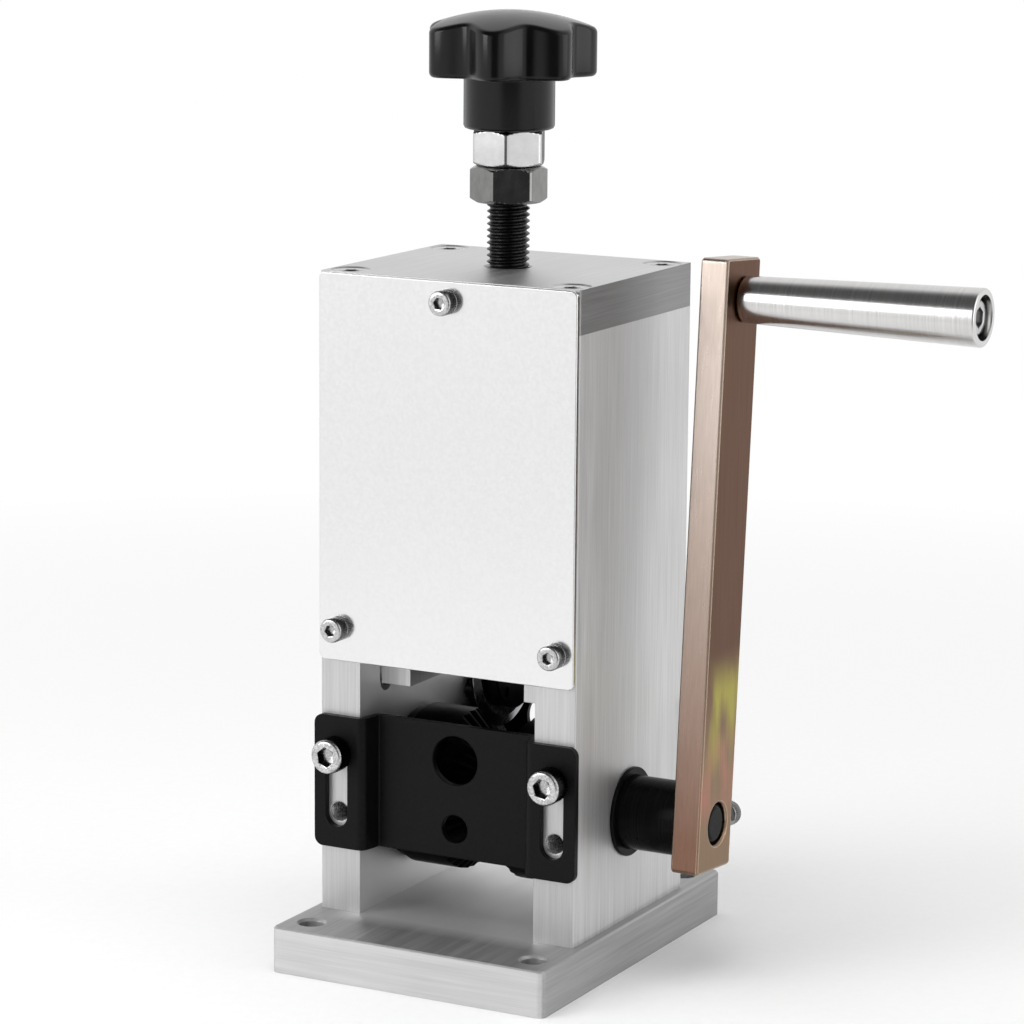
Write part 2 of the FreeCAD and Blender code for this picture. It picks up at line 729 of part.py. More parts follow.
def upright_at(edge, places):
    """An upright edge at one of the places, on either side of the middle."""
    if not runs_along(edge, "z"):
        return False
    x, y = edge.BoundBox.Center.x, edge.BoundBox.Center.y
    return any(near(abs(x), place_x) and near(y, place_y) for place_x, place_y in places)


# ---------------------------------------------------------------- carriage and blade
def blade_carriage():
    """Block with two legs for the blade's axle and four tongues that run in the side plates."""
    body = new_body("blade_carriage")
    half = HALF - S.run_gap
    mouth = S.mouth_width / 2
    out = S.carriage_depth / 2
    flat = sketch(body, FRONT, out)
    outline(flat, [
        (-half, S.carriage_low), (-mouth, S.carriage_low), (-mouth, MOUTH_TOP), (mouth, MOUTH_TOP),
        (mouth, S.carriage_low), (half, S.carriage_low), (half, CARRIAGE_TOP), (-half, CARRIAGE_TOP)])
    pad(body, flat, S.carriage_depth, backwards=True)
    dress(body, "Fillet", S.edge_break * 4,
          lambda edge: runs_along(edge, "y") and level(edge, "z", MOUTH_TOP))
    dress(body, "Chamfer", S.edge_break,
          lambda edge: runs_along(edge, "y") and level(edge, "z", CARRIAGE_TOP))
    for side, facing in ((-1, LEFT), (1, RIGHT)):
        flat = sketch(body, facing, half)
        for end in (-1, 1):
            upright_slot(flat, end * GROOVE_MIDDLE, S.carriage_low, CARRIAGE_TOP, S.tongue)
        pad(body, flat, S.groove_deep, backwards=side < 0)
    flat = sketch(body, RIGHT, half + S.groove_deep)
    circle(flat, 0, AXLE_HEIGHT, S.axle + 2 * S.fit_gap)
    pocket(body, flat, 2 * (half + S.groove_deep))
    flat = sketch(body, UP, CARRIAGE_TOP)
    circle(flat, 0, 0, S.neck + 2 * S.pin_gap)
    pocket(body, flat, S.carriage_height - S.mouth_height)


def on_axle(body):
    """Set a piece that is drawn about its own X axis on the blade's axle."""
    bind(body, "Placement.Base.z", AXLE_HEIGHT)


def blade_axle():
    """Plain pin through both carriage legs."""
    body = new_body("blade_axle")
    end = HALF - 2 * S.run_gap
    turned(body, [(-end, 0), (end, 0), (end, S.axle / 2), (-end, S.axle / 2)])
    dress(body, "Chamfer", S.edge_break, lambda edge: is_ring(edge, S.axle))
    on_axle(body)


def blade_spacers():
    """Two tubes on the axle that keep the blade in the middle."""
    body = new_body("blade_spacers", several=True)
    near_x = S.blade_sheet / 2 + S.hub_flange_thick + S.run_gap
    far_x = S.mouth_width / 2 - S.fit_gap
    for side, facing in ((-1, LEFT), (1, RIGHT)):
        flat = sketch(body, facing, near_x)
        circle(flat, 0, 0, S.spacer)
        circle(flat, 0, 0, S.axle + 2 * S.fit_gap)
        pad(body, flat, far_x - near_x, backwards=side < 0)
    on_axle(body)


def hub_screw_places():
    count = int(S.hub_screw_count.number)
    reach = S.hub_screw_ring / 2
    turns = [math.radians(45 + 360 * k / count) for k in range(count)]
    return [(reach * math.cos(turn), reach * math.sin(turn)) for turn in turns]


def drilled(body, face, length, places, diameter):
    """Holes along X, from a face on the right into the piece."""
    flat = sketch(body, RIGHT, face)
    for x, y in places:
        circle(flat, x, y, diameter)
    pocket(body, flat, length)


def blade_disc():
    """Round blade with a bevel ground on both sides."""
    body = new_body("blade_disc")
    half, bore = S.blade_sheet / 2, S.hub / 2 + S.fit_gap
    rim, land = S.blade / 2, S.blade_sheet / 20
    turned(body, [
        (-half, bore), (half, bore), (half, rim - S.blade_bevel),
        (land, rim), (-land, rim), (-half, rim - S.blade_bevel)])
    drilled(body, half, S.blade_sheet, hub_screw_places(), S.hub_screw + 2 * S.fit_gap)
    on_axle(body)


def blade_hub():
    """Flanged hub that runs on the axle and passes through the blade."""
    body = new_body("blade_hub")
    half, bore, sleeve = S.blade_sheet / 2, S.axle / 2 + S.pin_gap, S.hub / 2
    end, flange = half + S.hub_flange_thick, S.hub_flange / 2
    turned(body, [
        (-end, bore), (end, bore), (end, flange), (half, flange), (half, sleeve), (-end, sleeve)])
    dress(body, "Chamfer", S.edge_break,
          lambda edge: is_ring(edge, S.hub_flange) and level(edge, "x", end))
    drilled(body, end, S.hub_flange_thick, hub_screw_places(), S.hub_screw + 2 * S.fit_gap)
    on_axle(body)


def blade_clamp_ring():
    """Ring that clamps the blade against the hub's flange."""
    body = new_body("blade_clamp_ring")
    half, bore = S.blade_sheet / 2, S.hub / 2 + S.fit_gap
    end, flange = half + S.hub_flange_thick, S.hub_flange / 2
    turned(body, [(-end, bore), (-half, bore), (-half, flange), (-end, flange)])
    dress(body, "Chamfer", S.edge_break,
          lambda edge: is_ring(edge, S.hub_flange) and level(edge, "x", -end))
    drilled(body, -half, S.hub_flange_thick, hub_screw_places(), S.hub_screw + 2 * S.fit_gap)
    on_axle(body)


def blade_screws():
    """Screws through the ring and the blade into the hub's flange."""
    end = S.blade_sheet / 2 + S.hub_flange_thick
    kind = (S.hub_screw, S.hub_screw * 11 / 6, S.hub_screw, S.hub_screw * 5 / 6)
    body = cap_screws("blade_screws", LEFT, end, hub_screw_places(), kind, 2 * end - S.edge_break)
    on_axle(body)


# ---------------------------------------------------------------- shaft, roller and crank
def on_shaft(body):
    """Set a piece that is drawn about the shaft's axis, arm upright, in its leaning place."""
    body.Placement.Rotation = FreeCAD.Rotation(V(1, 0, 0), 1)
    bind(body, "Placement.Rotation.Angle", -S.arm_lean)
    bind(body, "Placement.Base.z", S.shaft_up)


def drive_shaft():
    """Stepped shaft: left journal, roller seat, thick right journal and the arm's end."""
    body = new_body("drive_shaft")
    seat_end = HALF - S.run_gap / 2
    left_end = S.shaft_end_inset - OUTER
    tip = ARM_FAR - S.arm_end_inset
    left, seat = S.left_journal / 2, S.seat / 2
    right, arm = S.shaft / 2, S.arm_hole / 2 - S.fit_gap
    turned(body, [
        (left_end, 0), (tip, 0), (tip, arm), (ARM_NEAR, arm), (ARM_NEAR, right), (seat_end, right),
        (seat_end, seat), (-seat_end, seat), (-seat_end, left), (left_end, left)])
    dress(body, "Fillet", S.arm_hole / 6, lambda edge: is_ring(edge) and level(edge, "x", tip))
    dress(body, "Chamfer", S.edge_break, lambda edge: is_ring(edge) and level(edge, "x", left_end))
    on_shaft(body)


def feed_roller():
    """Roller of two cheeks set face to face: between them a V groove with radially serrated flanks."""
    body = new_body("feed_roller", several=True)
    end = HALF - S.run_gap
    step = end - S.roller_rim_long
    mouth, floor = S.groove_mouth / 2, S.groove_floor / 2
    bore, rim, full, waist = S.seat / 2 + S.fit_gap, S.roller_rim / 2, S.roller / 2, S.waist / 2
    turned(body, [
        (-end, bore), (end, bore), (end, rim), (step, rim), (step, full), (mouth, full), (floor, waist),
        (-floor, waist), (-mouth, full), (-step, full), (-step, rim), (-end, rim)])
    dress(body, "Chamfer", S.edge_break,
          lambda edge: is_ring(edge, S.roller) and abs(edge.BoundBox.Center.x) > mouth.number + 1)
    slope = (full - waist) / (mouth - floor)
    past = mouth + 1
    teeth = []
    for side, facing in ((-1, LEFT), (1, RIGHT)):
        low = sketch(body, facing, floor)
        outline(low, tooth_gap(waist))
        high = sketch(body, facing, past)
        outline(high, tooth_gap(waist + slope * (past - floor)))
        loft = body.newObject("PartDesign::SubtractiveLoft", "serration")
        loft.Profile = low
        loft.Sections = [high]
        loft.Ruled = True
        teeth.append(solid(loft))
    around(body, teeth, S.tooth_count, "X_Axis")
    part = S.cheek_gap / 2
    turned(body, [(-part, bore - 1), (part, bore - 1), (part, full + 1), (-part, full + 1)], cut=True)
    flat = sketch(body, UP, full + 1)
    for side in (-1, 1):
        circle(flat, side * S.set_screw_place, 0, S.big_thread + 2 * S.fit_gap)
    pocket(body, flat, full - S.seat / 2 + 1.5)
    on_shaft(body)
    turn_down(body)


def turn_down(body):
    """Turn a piece on the shaft by half a turn, so that the set screws point down."""
    bind(body, "Placement.Rotation.Angle", 180 - S.arm_lean)


def tooth_gap(radius):
    """A V between two serrations, where the flank lies at this radius."""
    above = 1.0
    half = radius * (math.pi * 0.92) / S.tooth_count
    spread = (S.tooth_deep + above) / S.tooth_deep
    return [(-half * spread, radius + above), (0, radius - S.tooth_deep), (half * spread, radius + above)]


def roller_set_screws():
    """Two set screws that lock the roller's cheeks on the shaft, below the roller's surface."""
    body = new_body("roller_set_screws", several=True)
    low = S.seat / 2 + S.fit_gap
    top = S.roller / 2 - S.set_screw_inset
    places = [-S.set_screw_place, S.set_screw_place]
    flat = sketch(body, UP, low)
    for x in places:
        circle(flat, x, 0, S.big_thread)
    pad(body, flat, top - low)
    flat = sketch(body, UP, top)
    for x in places:
        hexagon(flat, x, 0, S.small_key)
    pocket(body, flat, S.small_key)
    on_shaft(body)
    turn_down(body)


def crank_arm():
    """Flat bar arm, drilled for the shaft's end, the grip bolt and the clamp screw in its edge."""
    body = new_body("crank_arm")
    flat = sketch(body, RIGHT, ARM_NEAR)
    rectangle(flat, -S.arm_front, -S.arm_tail, S.arm_back, S.arm_long)
    pad(body, flat, S.arm_sheet)
    dress(body, "Fillet", S.arm_round, lambda edge: runs_along(edge, "x"))
    dress(body, "Chamfer", S.edge_break,
          lambda edge: level(edge, "x", ARM_FAR) or level(edge, "x", ARM_NEAR))
    flat = sketch(body, RIGHT, ARM_FAR)
    circle(flat, 0, 0, S.arm_hole)
    circle(flat, 0, S.crank_throw, S.big_thread + 2 * S.fit_gap)
    pocket(body, flat, S.arm_sheet)
    dress(body, "Chamfer", S.edge_break,
          lambda edge: is_ring(edge, S.arm_hole) and level(edge, "x", ARM_FAR))
    flat = sketch(body, BACK, S.arm_back)
    circle(flat, ARM_MIDDLE, 0, S.small_thread + 2 * S.fit_gap)
    pocket(body, flat, S.arm_back, along=True)
    on_shaft(body)


def arm_clamp():
    """Clamp screw in the arm's rear edge, with its lock nut."""
    seat = S.arm_back + S.nut_four + S.lock_nut_gap
    length = seat - S.arm_hole / 2 - S.fit_gap
    on_shaft(cap_screws("arm_clamp_screw", BACK, seat, [(ARM_MIDDLE, 0)], SMALL, length))
    body = new_body("arm_lock_nut")
    flat = sketch(body, BACK, S.arm_back)
    hexagon(flat, ARM_MIDDLE, 0, S.small_head)
    circle(flat, ARM_MIDDLE, 0, S.small_thread + 2 * S.fit_gap)
    pad(body, flat, S.nut_four, backwards=True)
    on_shaft(body)


def at_grip(body):
    """Set a piece that is drawn about its own X axis on the arm's grip axis."""
    lean = math.radians(S.arm_lean.number)
    body.Placement.Rotation = FreeCAD.Rotation(V(1, 0, 0), 1)
    bind(body, "Placement.Rotation.Angle", -S.arm_lean)
    bind(body, "Placement.Base.y", S.crank_throw * math.sin(lean))
    bind(body, "Placement.Base.z", S.shaft_up + S.crank_throw * math.cos(lean))


def grip_sleeve():
    """Slightly tapered steel sleeve that turns on the grip bolt."""
    body = new_body("grip_sleeve")
    start = ARM_FAR + S.run_gap
    end = start + S.grip_long
    floor = end - S.grip_recess_deep
    bore, recess = S.big_thread / 2 + S.run_gap, S.grip_recess / 2
    turned(body, [
        (start, bore), (floor, bore), (floor, recess), (end, recess),
        (end, S.grip_far / 2), (start, S.grip_near / 2)])
    dress(body, "Fillet", S.edge_break,
          lambda edge: is_ring(edge, S.grip_far) or is_ring(edge, S.grip_near))
    at_grip(body)


def grip_bolt():
    """Long cap screw through the sleeve into the arm."""
    seat = ARM_FAR + S.run_gap + S.grip_long - S.grip_recess_deep + S.run_gap
    body = cap_screws("grip_bolt", RIGHT, seat, [(0, 0)], BIG, seat - ARM_NEAR - S.edge_break)
    at_grip(body)


# ---------------------------------------------------------------- adjusting screw and knob
def adjusting_screw():
    """M12 screw with a journal that hangs the carriage and a groove for the clip below it."""
    body = new_body("adjusting_screw")
    shoulder = CARRIAGE_TOP + S.washer_thick
    clip_top = MOUTH_TOP - S.pin_gap
    clip_low = clip_top - S.clip_thick
    tail = clip_low - 1.5
    top = STAR_TOP - S.knob_thick / 2
    full, neck = S.screw / 2, S.neck / 2
    bite = neck - S.clip_bite
    turned(body, [
        (0, tail), (neck, tail), (neck, clip_low), (bite, clip_low), (bite, clip_top), (neck, clip_top),
        (neck, shoulder), (full, shoulder), (full, top), (0, top)], axis="V_Axis")
    dress(body, "Chamfer", S.edge_break, lambda edge: is_ring(edge) and level(edge, "z", tail))
    dress(body, "Chamfer", S.edge_break * 2, lambda edge: is_ring(edge) and level(edge, "z", top))


def thrust_washer():
    """Washer between the screw's shoulder and the carriage."""
    body = new_body("thrust_washer")
    flat = sketch(body, UP, CARRIAGE_TOP)
    circle(flat, 0, 0, S.washer)
    circle(flat, 0, 0, S.neck + 2 * S.pin_gap)
    pad(body, flat, S.washer_thick)


def retaining_clip():
    """Clip in the journal's groove that lifts the carriage with the screw."""
    body = new_body("retaining_clip")
    low = MOUTH_TOP - S.pin_gap - S.clip_thick
    flat = sketch(body, UP, low)
    circle(flat, 0, 0, S.clip)
    circle(flat, 0, 0, S.neck - 2 * S.clip_bite + 2 * S.fit_gap)
    pad(body, flat, S.clip_thick)


def hex_nut(name, low, turn):
    """M12 nut with chamfered corners on both faces."""
    body = new_body(name)
    flat = sketch(body, UP, low)
    hexagon(flat, 0, 0, S.nut_flats)
    circle(flat, 0, 0, S.screw + 2 * S.fit_gap)
    pad(body, flat, S.nut_twelve)
    corner, ring = S.nut_flats / math.sqrt(3) + 0.1, S.nut_flats / 2
    rise = (corner - ring) * math.tan(math.radians(30))
    high = low + S.nut_twelve
    turned(body, [(ring, high), (corner, high - rise), (corner, high)], axis="V_Axis", cut=True)
    turned(body, [(ring, low), (corner, low), (corner, low + rise)], axis="V_Axis", cut=True)
    body.Placement.Rotation = FreeCAD.Rotation(V(0, 0, 1), turn.number)
    bind(body, "Placement.Rotation.Angle", turn)


def star_knob():
    """Star knob: round hub, rim with hollows between its lobes, and a domed top."""
    body = new_body("star_knob")
    flat = sketch(body, UP, STAR_LOW)
    circle(flat, 0, 0, S.knob)
    pad(body, flat, S.knob_thick + S.knob_dome)
    flat = sketch(body, UP, STAR_TOP)
    circle(flat, S.knob_scallop_out, 0, 2 * S.knob_scallop)
    hollow = pocket(body, flat, S.knob_thick + S.knob_dome)
    around(body, [hollow], S.knob_lobes, "Z_Axis")
    dress(body, "Fillet", S.knob_lobe_round, lambda edge: runs_along(edge, "z"))
    dome_cut(body)
    doc.recompute()
    dress(body, "Fillet", S.edge_break * 3, lambda edge: on_dome(edge))
    dress(body, "Fillet", S.edge_break * 2, lambda edge: level(edge, "z", STAR_LOW))
    flat = sketch(body, UP, KNOB_LOW)
    circle(flat, 0, 0, S.knob_neck)
    pad(body, flat, S.knob_neck_long)
    dress(body, "Chamfer", S.edge_break,
          lambda edge: is_ring(edge, S.knob_neck) and level(edge, "z", KNOB_LOW))
    flat = sketch(body, UP, KNOB_LOW)
    circle(flat, 0, 0, S.screw + 2 * S.fit_gap)
    pocket(body, flat, S.knob_neck_long + S.knob_thick / 2 + S.knob_dome + S.fit_gap, along=True)
    body.Placement.Rotation = FreeCAD.Rotation(V(0, 0, 1), 1)
    bind(body, "Placement.Rotation.Angle", S.knob_turn)


def dome_cut(body):
    """Take the corner above a shallow dome off the knob."""
    flat = sketch(body, FRONT, 0)
    rim = S.knob / 2 + 1
    radius = (rim * rim + S.knob_dome * S.knob_dome) / (2 * S.knob_dome)
    centre = STAR_TOP - radius
    r, c, edge, top = radius.number, centre.number, rim.number, STAR_TOP.number
    turn = math.acos(edge / r)
    low = c + r * math.sin(turn)
    flat.addGeometry(Part.ArcOfCircle(Part.Circle(V(0, c, 0), V(0, 0, 1), r), turn, math.pi / 2), False)
    flat.addGeometry(Part.LineSegment(V(0, top, 0), V(0, top + 2, 0)), False)
    flat.addGeometry(Part.LineSegment(V(0, top + 2, 0), V(edge, top + 2, 0)), False)
    flat.addGeometry(Part.LineSegment(V(edge, top + 2, 0), V(edge, low, 0)), False)
    for first, point, second, other in ((0, 2, 1, 1), (1, 2, 2, 1), (2, 2, 3, 1), (3, 2, 0, 1)):
        flat.addConstraint(Sketcher.Constraint("Coincident", first, point, second, other))
    hold(flat, 0, 3, 0, centre)
    hold(flat, 0, 2, 0, STAR_TOP)
    hold(flat, 1, 2, 0, STAR_TOP + 2)
    hold(flat, 2, 2, rim, STAR_TOP + 2)
    flat.addConstraint(Sketcher.Constraint("Vertical", 3))
    before = body.Shape.Volume
    feature = body.newObject("PartDesign::Groove", "dome")
    feature.Profile = flat
    feature.ReferenceAxis = (flat, ["V_Axis"])
    feature.Angle = 360
    solid(feature)
    if feature.Shape.Volume > before - 1e-6:
        raise RuntimeError("the dome cuts nothing")


def on_dome(edge):
    """The edges between the dome and the knob's sides."""
    box = edge.BoundBox
    return box.ZMin > (STAR_TOP - S.knob_dome - 2).number and box.ZLength < S.knob_dome.number


# ---------------------------------------------------------------- the whole machine
def build():
    base_plate()
    side_plate("left_side_plate", -1)
    side_plate("right_side_plate", 1)
    top_plate()
    front_cover()
    bush("left_bush", -1, LEFT_BUSH, S.left_journal + 2 * S.pin_gap)
    bush("right_bush", 1, RIGHT_BUSH, S.shaft + 2 * S.pin_gap)
    lid_screws()
    frame_screws()
    guide_plate("guide_plate", 0)
    guide_plate("rear_guide_plate", 180)
    blade_carriage()
    blade_axle()
    blade_spacers()
    blade_disc()
    blade_hub()
    blade_clamp_ring()
    blade_screws()
    drive_shaft()
    feed_roller()
    roller_set_screws()
    crank_arm()
    arm_clamp()
    grip_sleeve()
    grip_bolt()
    adjusting_screw()
    thrust_washer()
    retaining_clip()
    hex_nut("lower_nut", LOWER_NUT, S.lower_nut_turn)
    hex_nut("upper_nut", UPPER_NUT, S.upper_nut_turn)
    star_knob()


def check_and_write():
    """Every object must be sound before anything is written."""
    doc.recompute()
    for item in doc.Objects:
        if "Invalid" in item.State or "Error" in item.State:
            raise RuntimeError(f"{item.Name}: {item.State}")
    for body in parts:
        if body.Shape.isNull() or not body.Shape.isValid() or not body.Shape.Solids:
            raise RuntimeError(f"{body.Label}: no sound solid")
    os.makedirs("parts", exist_ok=True)
    for body in parts:
        body.Shape.exportStep(f"parts/{body.Label}.step")
        print(f"{body.Label}: {len(body.Shape.Solids)} solid(s), {body.Shape.Volume:.1f} mm3")


build()
check_and_write()
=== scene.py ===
# %% [markdown]
# # A hand crank wire stripper
# This bench machine slits the insulation of a cable: a crank turns a grooved roller, and a round
# blade above it is set by the star knob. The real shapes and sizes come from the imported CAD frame.
# This file dresses that frame: it gives every metal its finish, cuts the threads, knurls and
# sockets that the plain solids lack, and lights the result like a small product studio. Lengths
# are written in millimetres, and places are read from the frame wherever a node or a joint gives
# them.

# %% Load the frame
import json
import math
import bpy
import numpy as np
from mathutils import Matrix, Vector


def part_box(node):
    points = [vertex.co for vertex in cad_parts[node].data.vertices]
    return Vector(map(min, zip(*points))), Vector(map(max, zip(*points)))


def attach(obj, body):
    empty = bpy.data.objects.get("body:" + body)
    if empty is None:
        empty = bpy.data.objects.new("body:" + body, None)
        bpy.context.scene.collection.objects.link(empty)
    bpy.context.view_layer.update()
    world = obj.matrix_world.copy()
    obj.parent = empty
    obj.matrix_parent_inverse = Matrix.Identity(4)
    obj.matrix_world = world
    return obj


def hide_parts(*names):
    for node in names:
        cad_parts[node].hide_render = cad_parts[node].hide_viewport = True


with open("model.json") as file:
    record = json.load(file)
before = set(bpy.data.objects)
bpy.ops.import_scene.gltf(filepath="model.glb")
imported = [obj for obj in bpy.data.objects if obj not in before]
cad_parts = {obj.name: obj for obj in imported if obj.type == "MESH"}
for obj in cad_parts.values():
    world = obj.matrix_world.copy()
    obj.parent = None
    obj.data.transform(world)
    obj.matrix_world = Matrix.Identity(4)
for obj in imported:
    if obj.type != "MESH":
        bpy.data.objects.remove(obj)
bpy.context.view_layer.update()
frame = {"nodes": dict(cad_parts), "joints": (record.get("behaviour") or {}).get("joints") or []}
scene = bpy.context.scene
MM = 0.001
FRONT, REAR, UP, RIGHT = (0, -1, 0), (0, 1, 0), (0, 0, 1), (1, 0, 0)


def box_mm(node):
    """A node's lowest and highest corner at rest, in mm, rounded to a thousandth."""
    return [np.round(np.array(corner) / MM, 3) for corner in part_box(node)]


def reach_of(node, way):
    """How far a node reaches along one of the directions above, in mm from the origin."""
    return float(max(np.dot(corner, way) for corner in box_mm(node)))


# %% [markdown]
# ## The camera
# The machine is seen from the right front with a long lens, a little from above. A long lens keeps
# the edges nearly parallel. The camera is placed by its bearing, its height and a very small roll,
# and its three axes are worked out directly, which avoids guessing at Euler angles.

# %% Camera
AZIMUTH, ELEVATION, ROLL = 27.907, 11.039, 0.474
CAMERA_AT_M = (0.500114, -0.940717, 0.333202)
LENS_MM, SENSOR_MM = 135.96, 36.0
NEAREST_M, FARTHEST_M = 0.05, 50.0


def camera_axes(azimuth, elevation, roll):
    """Right, up and back: back points at the camera, right is level, and both turn by the roll."""
    az, el, ro = (math.radians(value) for value in (azimuth, elevation, roll))
    back = np.array([math.sin(az) * math.cos(el), -math.cos(az) * math.cos(el), math.sin(el)])
    right = np.cross(-back, UP)
    right = right / np.linalg.norm(right)
    up = np.cross(right, -back)
    turned_right = math.cos(ro) * right + math.sin(ro) * up
    turned_up = -math.sin(ro) * right + math.cos(ro) * up
    return turned_right, turned_up, back


def stand(axes, at_m):
    """The 4 x 4 matrix whose columns are three axes and a place."""
    matrix = np.eye(4)
    matrix[:3, :3] = np.column_stack(axes)
    matrix[:3, 3] = at_m
    return Matrix(matrix.tolist())


camera_data = bpy.data.cameras.new("camera")
camera_data.lens, camera_data.sensor_width = LENS_MM, SENSOR_MM
camera_data.clip_start, camera_data.clip_end = NEAREST_M, FARTHEST_M
camera = bpy.data.objects.new("camera", camera_data)
camera.matrix_world = stand(camera_axes(AZIMUTH, ELEVATION, ROLL), CAMERA_AT_M)
scene.collection.objects.link(camera)
scene.camera = camera
print("camera distance, mm:", round(float(np.linalg.norm(CAMERA_AT_M)) / MM))

# %% [markdown]
# ## Colour and nodes
# Colours are written as the hex values that a maker would pick on a screen. Blender works in linear
# light, so one function turns them over. A second small function adds any node, sets its properties
# and fills its sockets: a hex colour or a number stays on the socket, a node is linked to it.

# %% Colour and node helpers
def linear(code):
    """sRGB hex to linear: a channel to 0.04045 is divided by 12.92, else it is ((c+0.055)/1.055)^2.4."""
    channels = np.array([int(code[k:k + 2], 16) for k in (1, 3, 5)]) / 255.0
    straight = np.where(channels <= 0.04045, channels / 12.92, ((channels + 0.055) / 1.055) ** 2.4)
    return (*straight.tolist(), 1.0)


def add(tree, kind, sockets=None, **settings):
    """One node with its settings; a socket takes a value, a hex colour, a node or one of its outputs."""
    node = tree.nodes.new(kind)
    for name, value in settings.items():
        setattr(node, name, value)
    for name, value in (sockets or {}).items():
        open_ones = [s for s in node.inputs if s.enabled]
        if isinstance(name, int):
            socket = open_ones[name]
        else:
            socket = next(s for s in open_ones if s.name == name)
        if isinstance(value, bpy.types.Node):
            value = next(s for s in value.outputs if s.enabled)
        if isinstance(value, bpy.types.NodeSocket):
            tree.links.new(value, socket)
        else:
            socket.default_value = linear(value) if isinstance(value, str) else value
    return node


def blank_finish(name):
    """A material with an empty node tree."""
    material = bpy.data.materials.new(name)
    material.use_nodes = True
    material.node_tree.nodes.clear()
    return material, material.node_tree


print("red in linear light:", linear("#ff0000"))

# %% [markdown]
# ## What the finishes share
# Every finish here has marks, which a noise stands for, and most have another tone on some faces,
# so the steps for these are written once. The marks' size is given in millimetres. Each finish
# ends alike: the marks shade the gloss, lie in shallow relief on softly rounded edges, and one
# shader makes the surface.

# %% Steps that the finishes share
def between(low, high):
    """The range that a Map Range node reads."""
    return {"From Min": low, "From Max": high}


NOISE_SPAN = between(0.3, 0.7)  # where nearly all values of a noise lie
FACED = between(0.6, 0.8)  # the normal's share along an axis, on a face that looks that way
BEVEL_RAYS = 4


def marks_of(tree, where, cells_mm, detail, roughness=0.5):
    """A noise whose cells measure so many millimetres along X, Y and Z."""
    scale = [1.0 / (cell * MM) for cell in cells_mm]
    mapped = add(tree, "ShaderNodeMapping", {"Vector": where.outputs["Object"], "Scale": scale})
    return add(tree, "ShaderNodeTexNoise",
               {"Vector": mapped, "Scale": 1.0, "Detail": detail, "Roughness": roughness})


def facing_of(tree, where):
    """The normal's parts along X, Y and Z, without their signs."""
    facing = add(tree, "ShaderNodeVectorMath", {0: where.outputs["Normal"]}, operation="ABSOLUTE")
    return add(tree, "ShaderNodeSeparateXYZ", {"Vector": facing}).outputs


def close_finish(tree, tone, marks, rough, depth_mm, edge, metallic, **sockets):
    """Marks map the roughness from rough[0] to rough[1] and stand in relief on the rounded edges."""
    gloss = add(tree, "ShaderNodeMapRange",
                {"Value": marks, **NOISE_SPAN, "To Min": rough[0], "To Max": rough[1]})
    bump = add(tree, "ShaderNodeBump", {"Height": marks, "Distance": depth_mm * MM, "Normal": edge})
    shader = add(tree, "ShaderNodeBsdfPrincipled",
                 {"Base Color": tone, "Metallic": metallic, "Roughness": gloss, "Normal": bump, **sockets})
    add(tree, "ShaderNodeOutputMaterial", {"Surface": shader})


print("a noise is read between", NOISE_SPAN)

# %% [markdown]
# ## Brushed plates
# The base, the two side plates and the top plate are aluminium flat bar, finished with an abrasive
# belt. The belt leaves fine scratches in one direction. Such a surface could be made with an image
# of scratches, with an anisotropic shader, or with noise that is stretched along the belt's path.
# The stretched noise is chosen, because it gives separate lines, each with its own brightness and
# roughness. Real scratches are about 0.05 mm apart, too fine to show, so they are drawn at 0.5 mm.
# A second, wider noise gives the broad streaks. The faces of a bar were ground one after another,
# so each pair of faces has its own direction. Each pair also has its own tone, which is painted light
# and shade: the same metal lighter or darker by the way each face meets the light, as at the darker ends of
# the lid.
# The faces between the side plates get a brighter tone, which is painted light where little light reaches
# inside.

# %% Brushed aluminium
X, Y, Z = 0, 1, 2
FINE_MM, FINE_RUN_MM, WIDE_MM, WIDE_RUN_MM = 0.5, 30.0, 2.6, 70.0
# Where the painted light between the side plates begins, and how far it fades.
PAINTED_LIGHT_EDGE_MM = {"X": box_mm("right_side_plate")[0][X] + 0.3, "Y": reach_of("right_side_plate", REAR) - 0.1}
PAINTED_LIGHT_FADE_MM = 8.0


def belt_lines(tree, where, axis, streak):
    """Fine scratches, mixed with a share of wide streaks, both stretched along one axis."""
    noises = []
    for cell, run, detail in ((FINE_MM, FINE_RUN_MM, 3.0), (WIDE_MM, WIDE_RUN_MM, 2.0)):
        cells = [cell] * 3
        cells[axis] = run
        noises.append(marks_of(tree, where, cells, detail, 0.6))
    return add(tree, "ShaderNodeMix", {"Factor": streak, "A": noises[0], "B": noises[1]})


def painted_light_share(tree, where, on_front):
    """Where the painted light goes: 1 between the side plates and 0 outside, fading over some mm, and 0 on
    faces that look along Y.
    """
    apart = add(tree, "ShaderNodeVectorMath", {0: where.outputs["Object"]}, operation="ABSOLUTE")
    apart = add(tree, "ShaderNodeSeparateXYZ", {"Vector": apart}).outputs
    near = [add(tree, "ShaderNodeMapRange",
                {"Value": apart[axis], **between((edge + PAINTED_LIGHT_FADE_MM) * MM, edge * MM)})
            for axis, edge in PAINTED_LIGHT_EDGE_MM.items()]
    inside = add(tree, "ShaderNodeMath", {0: near[0], 1: near[1]}, operation="MULTIPLY")
    return add(tree, "ShaderNodeMath", {0: inside, 1: on_front}, operation="SUBTRACT", use_clamp=True)


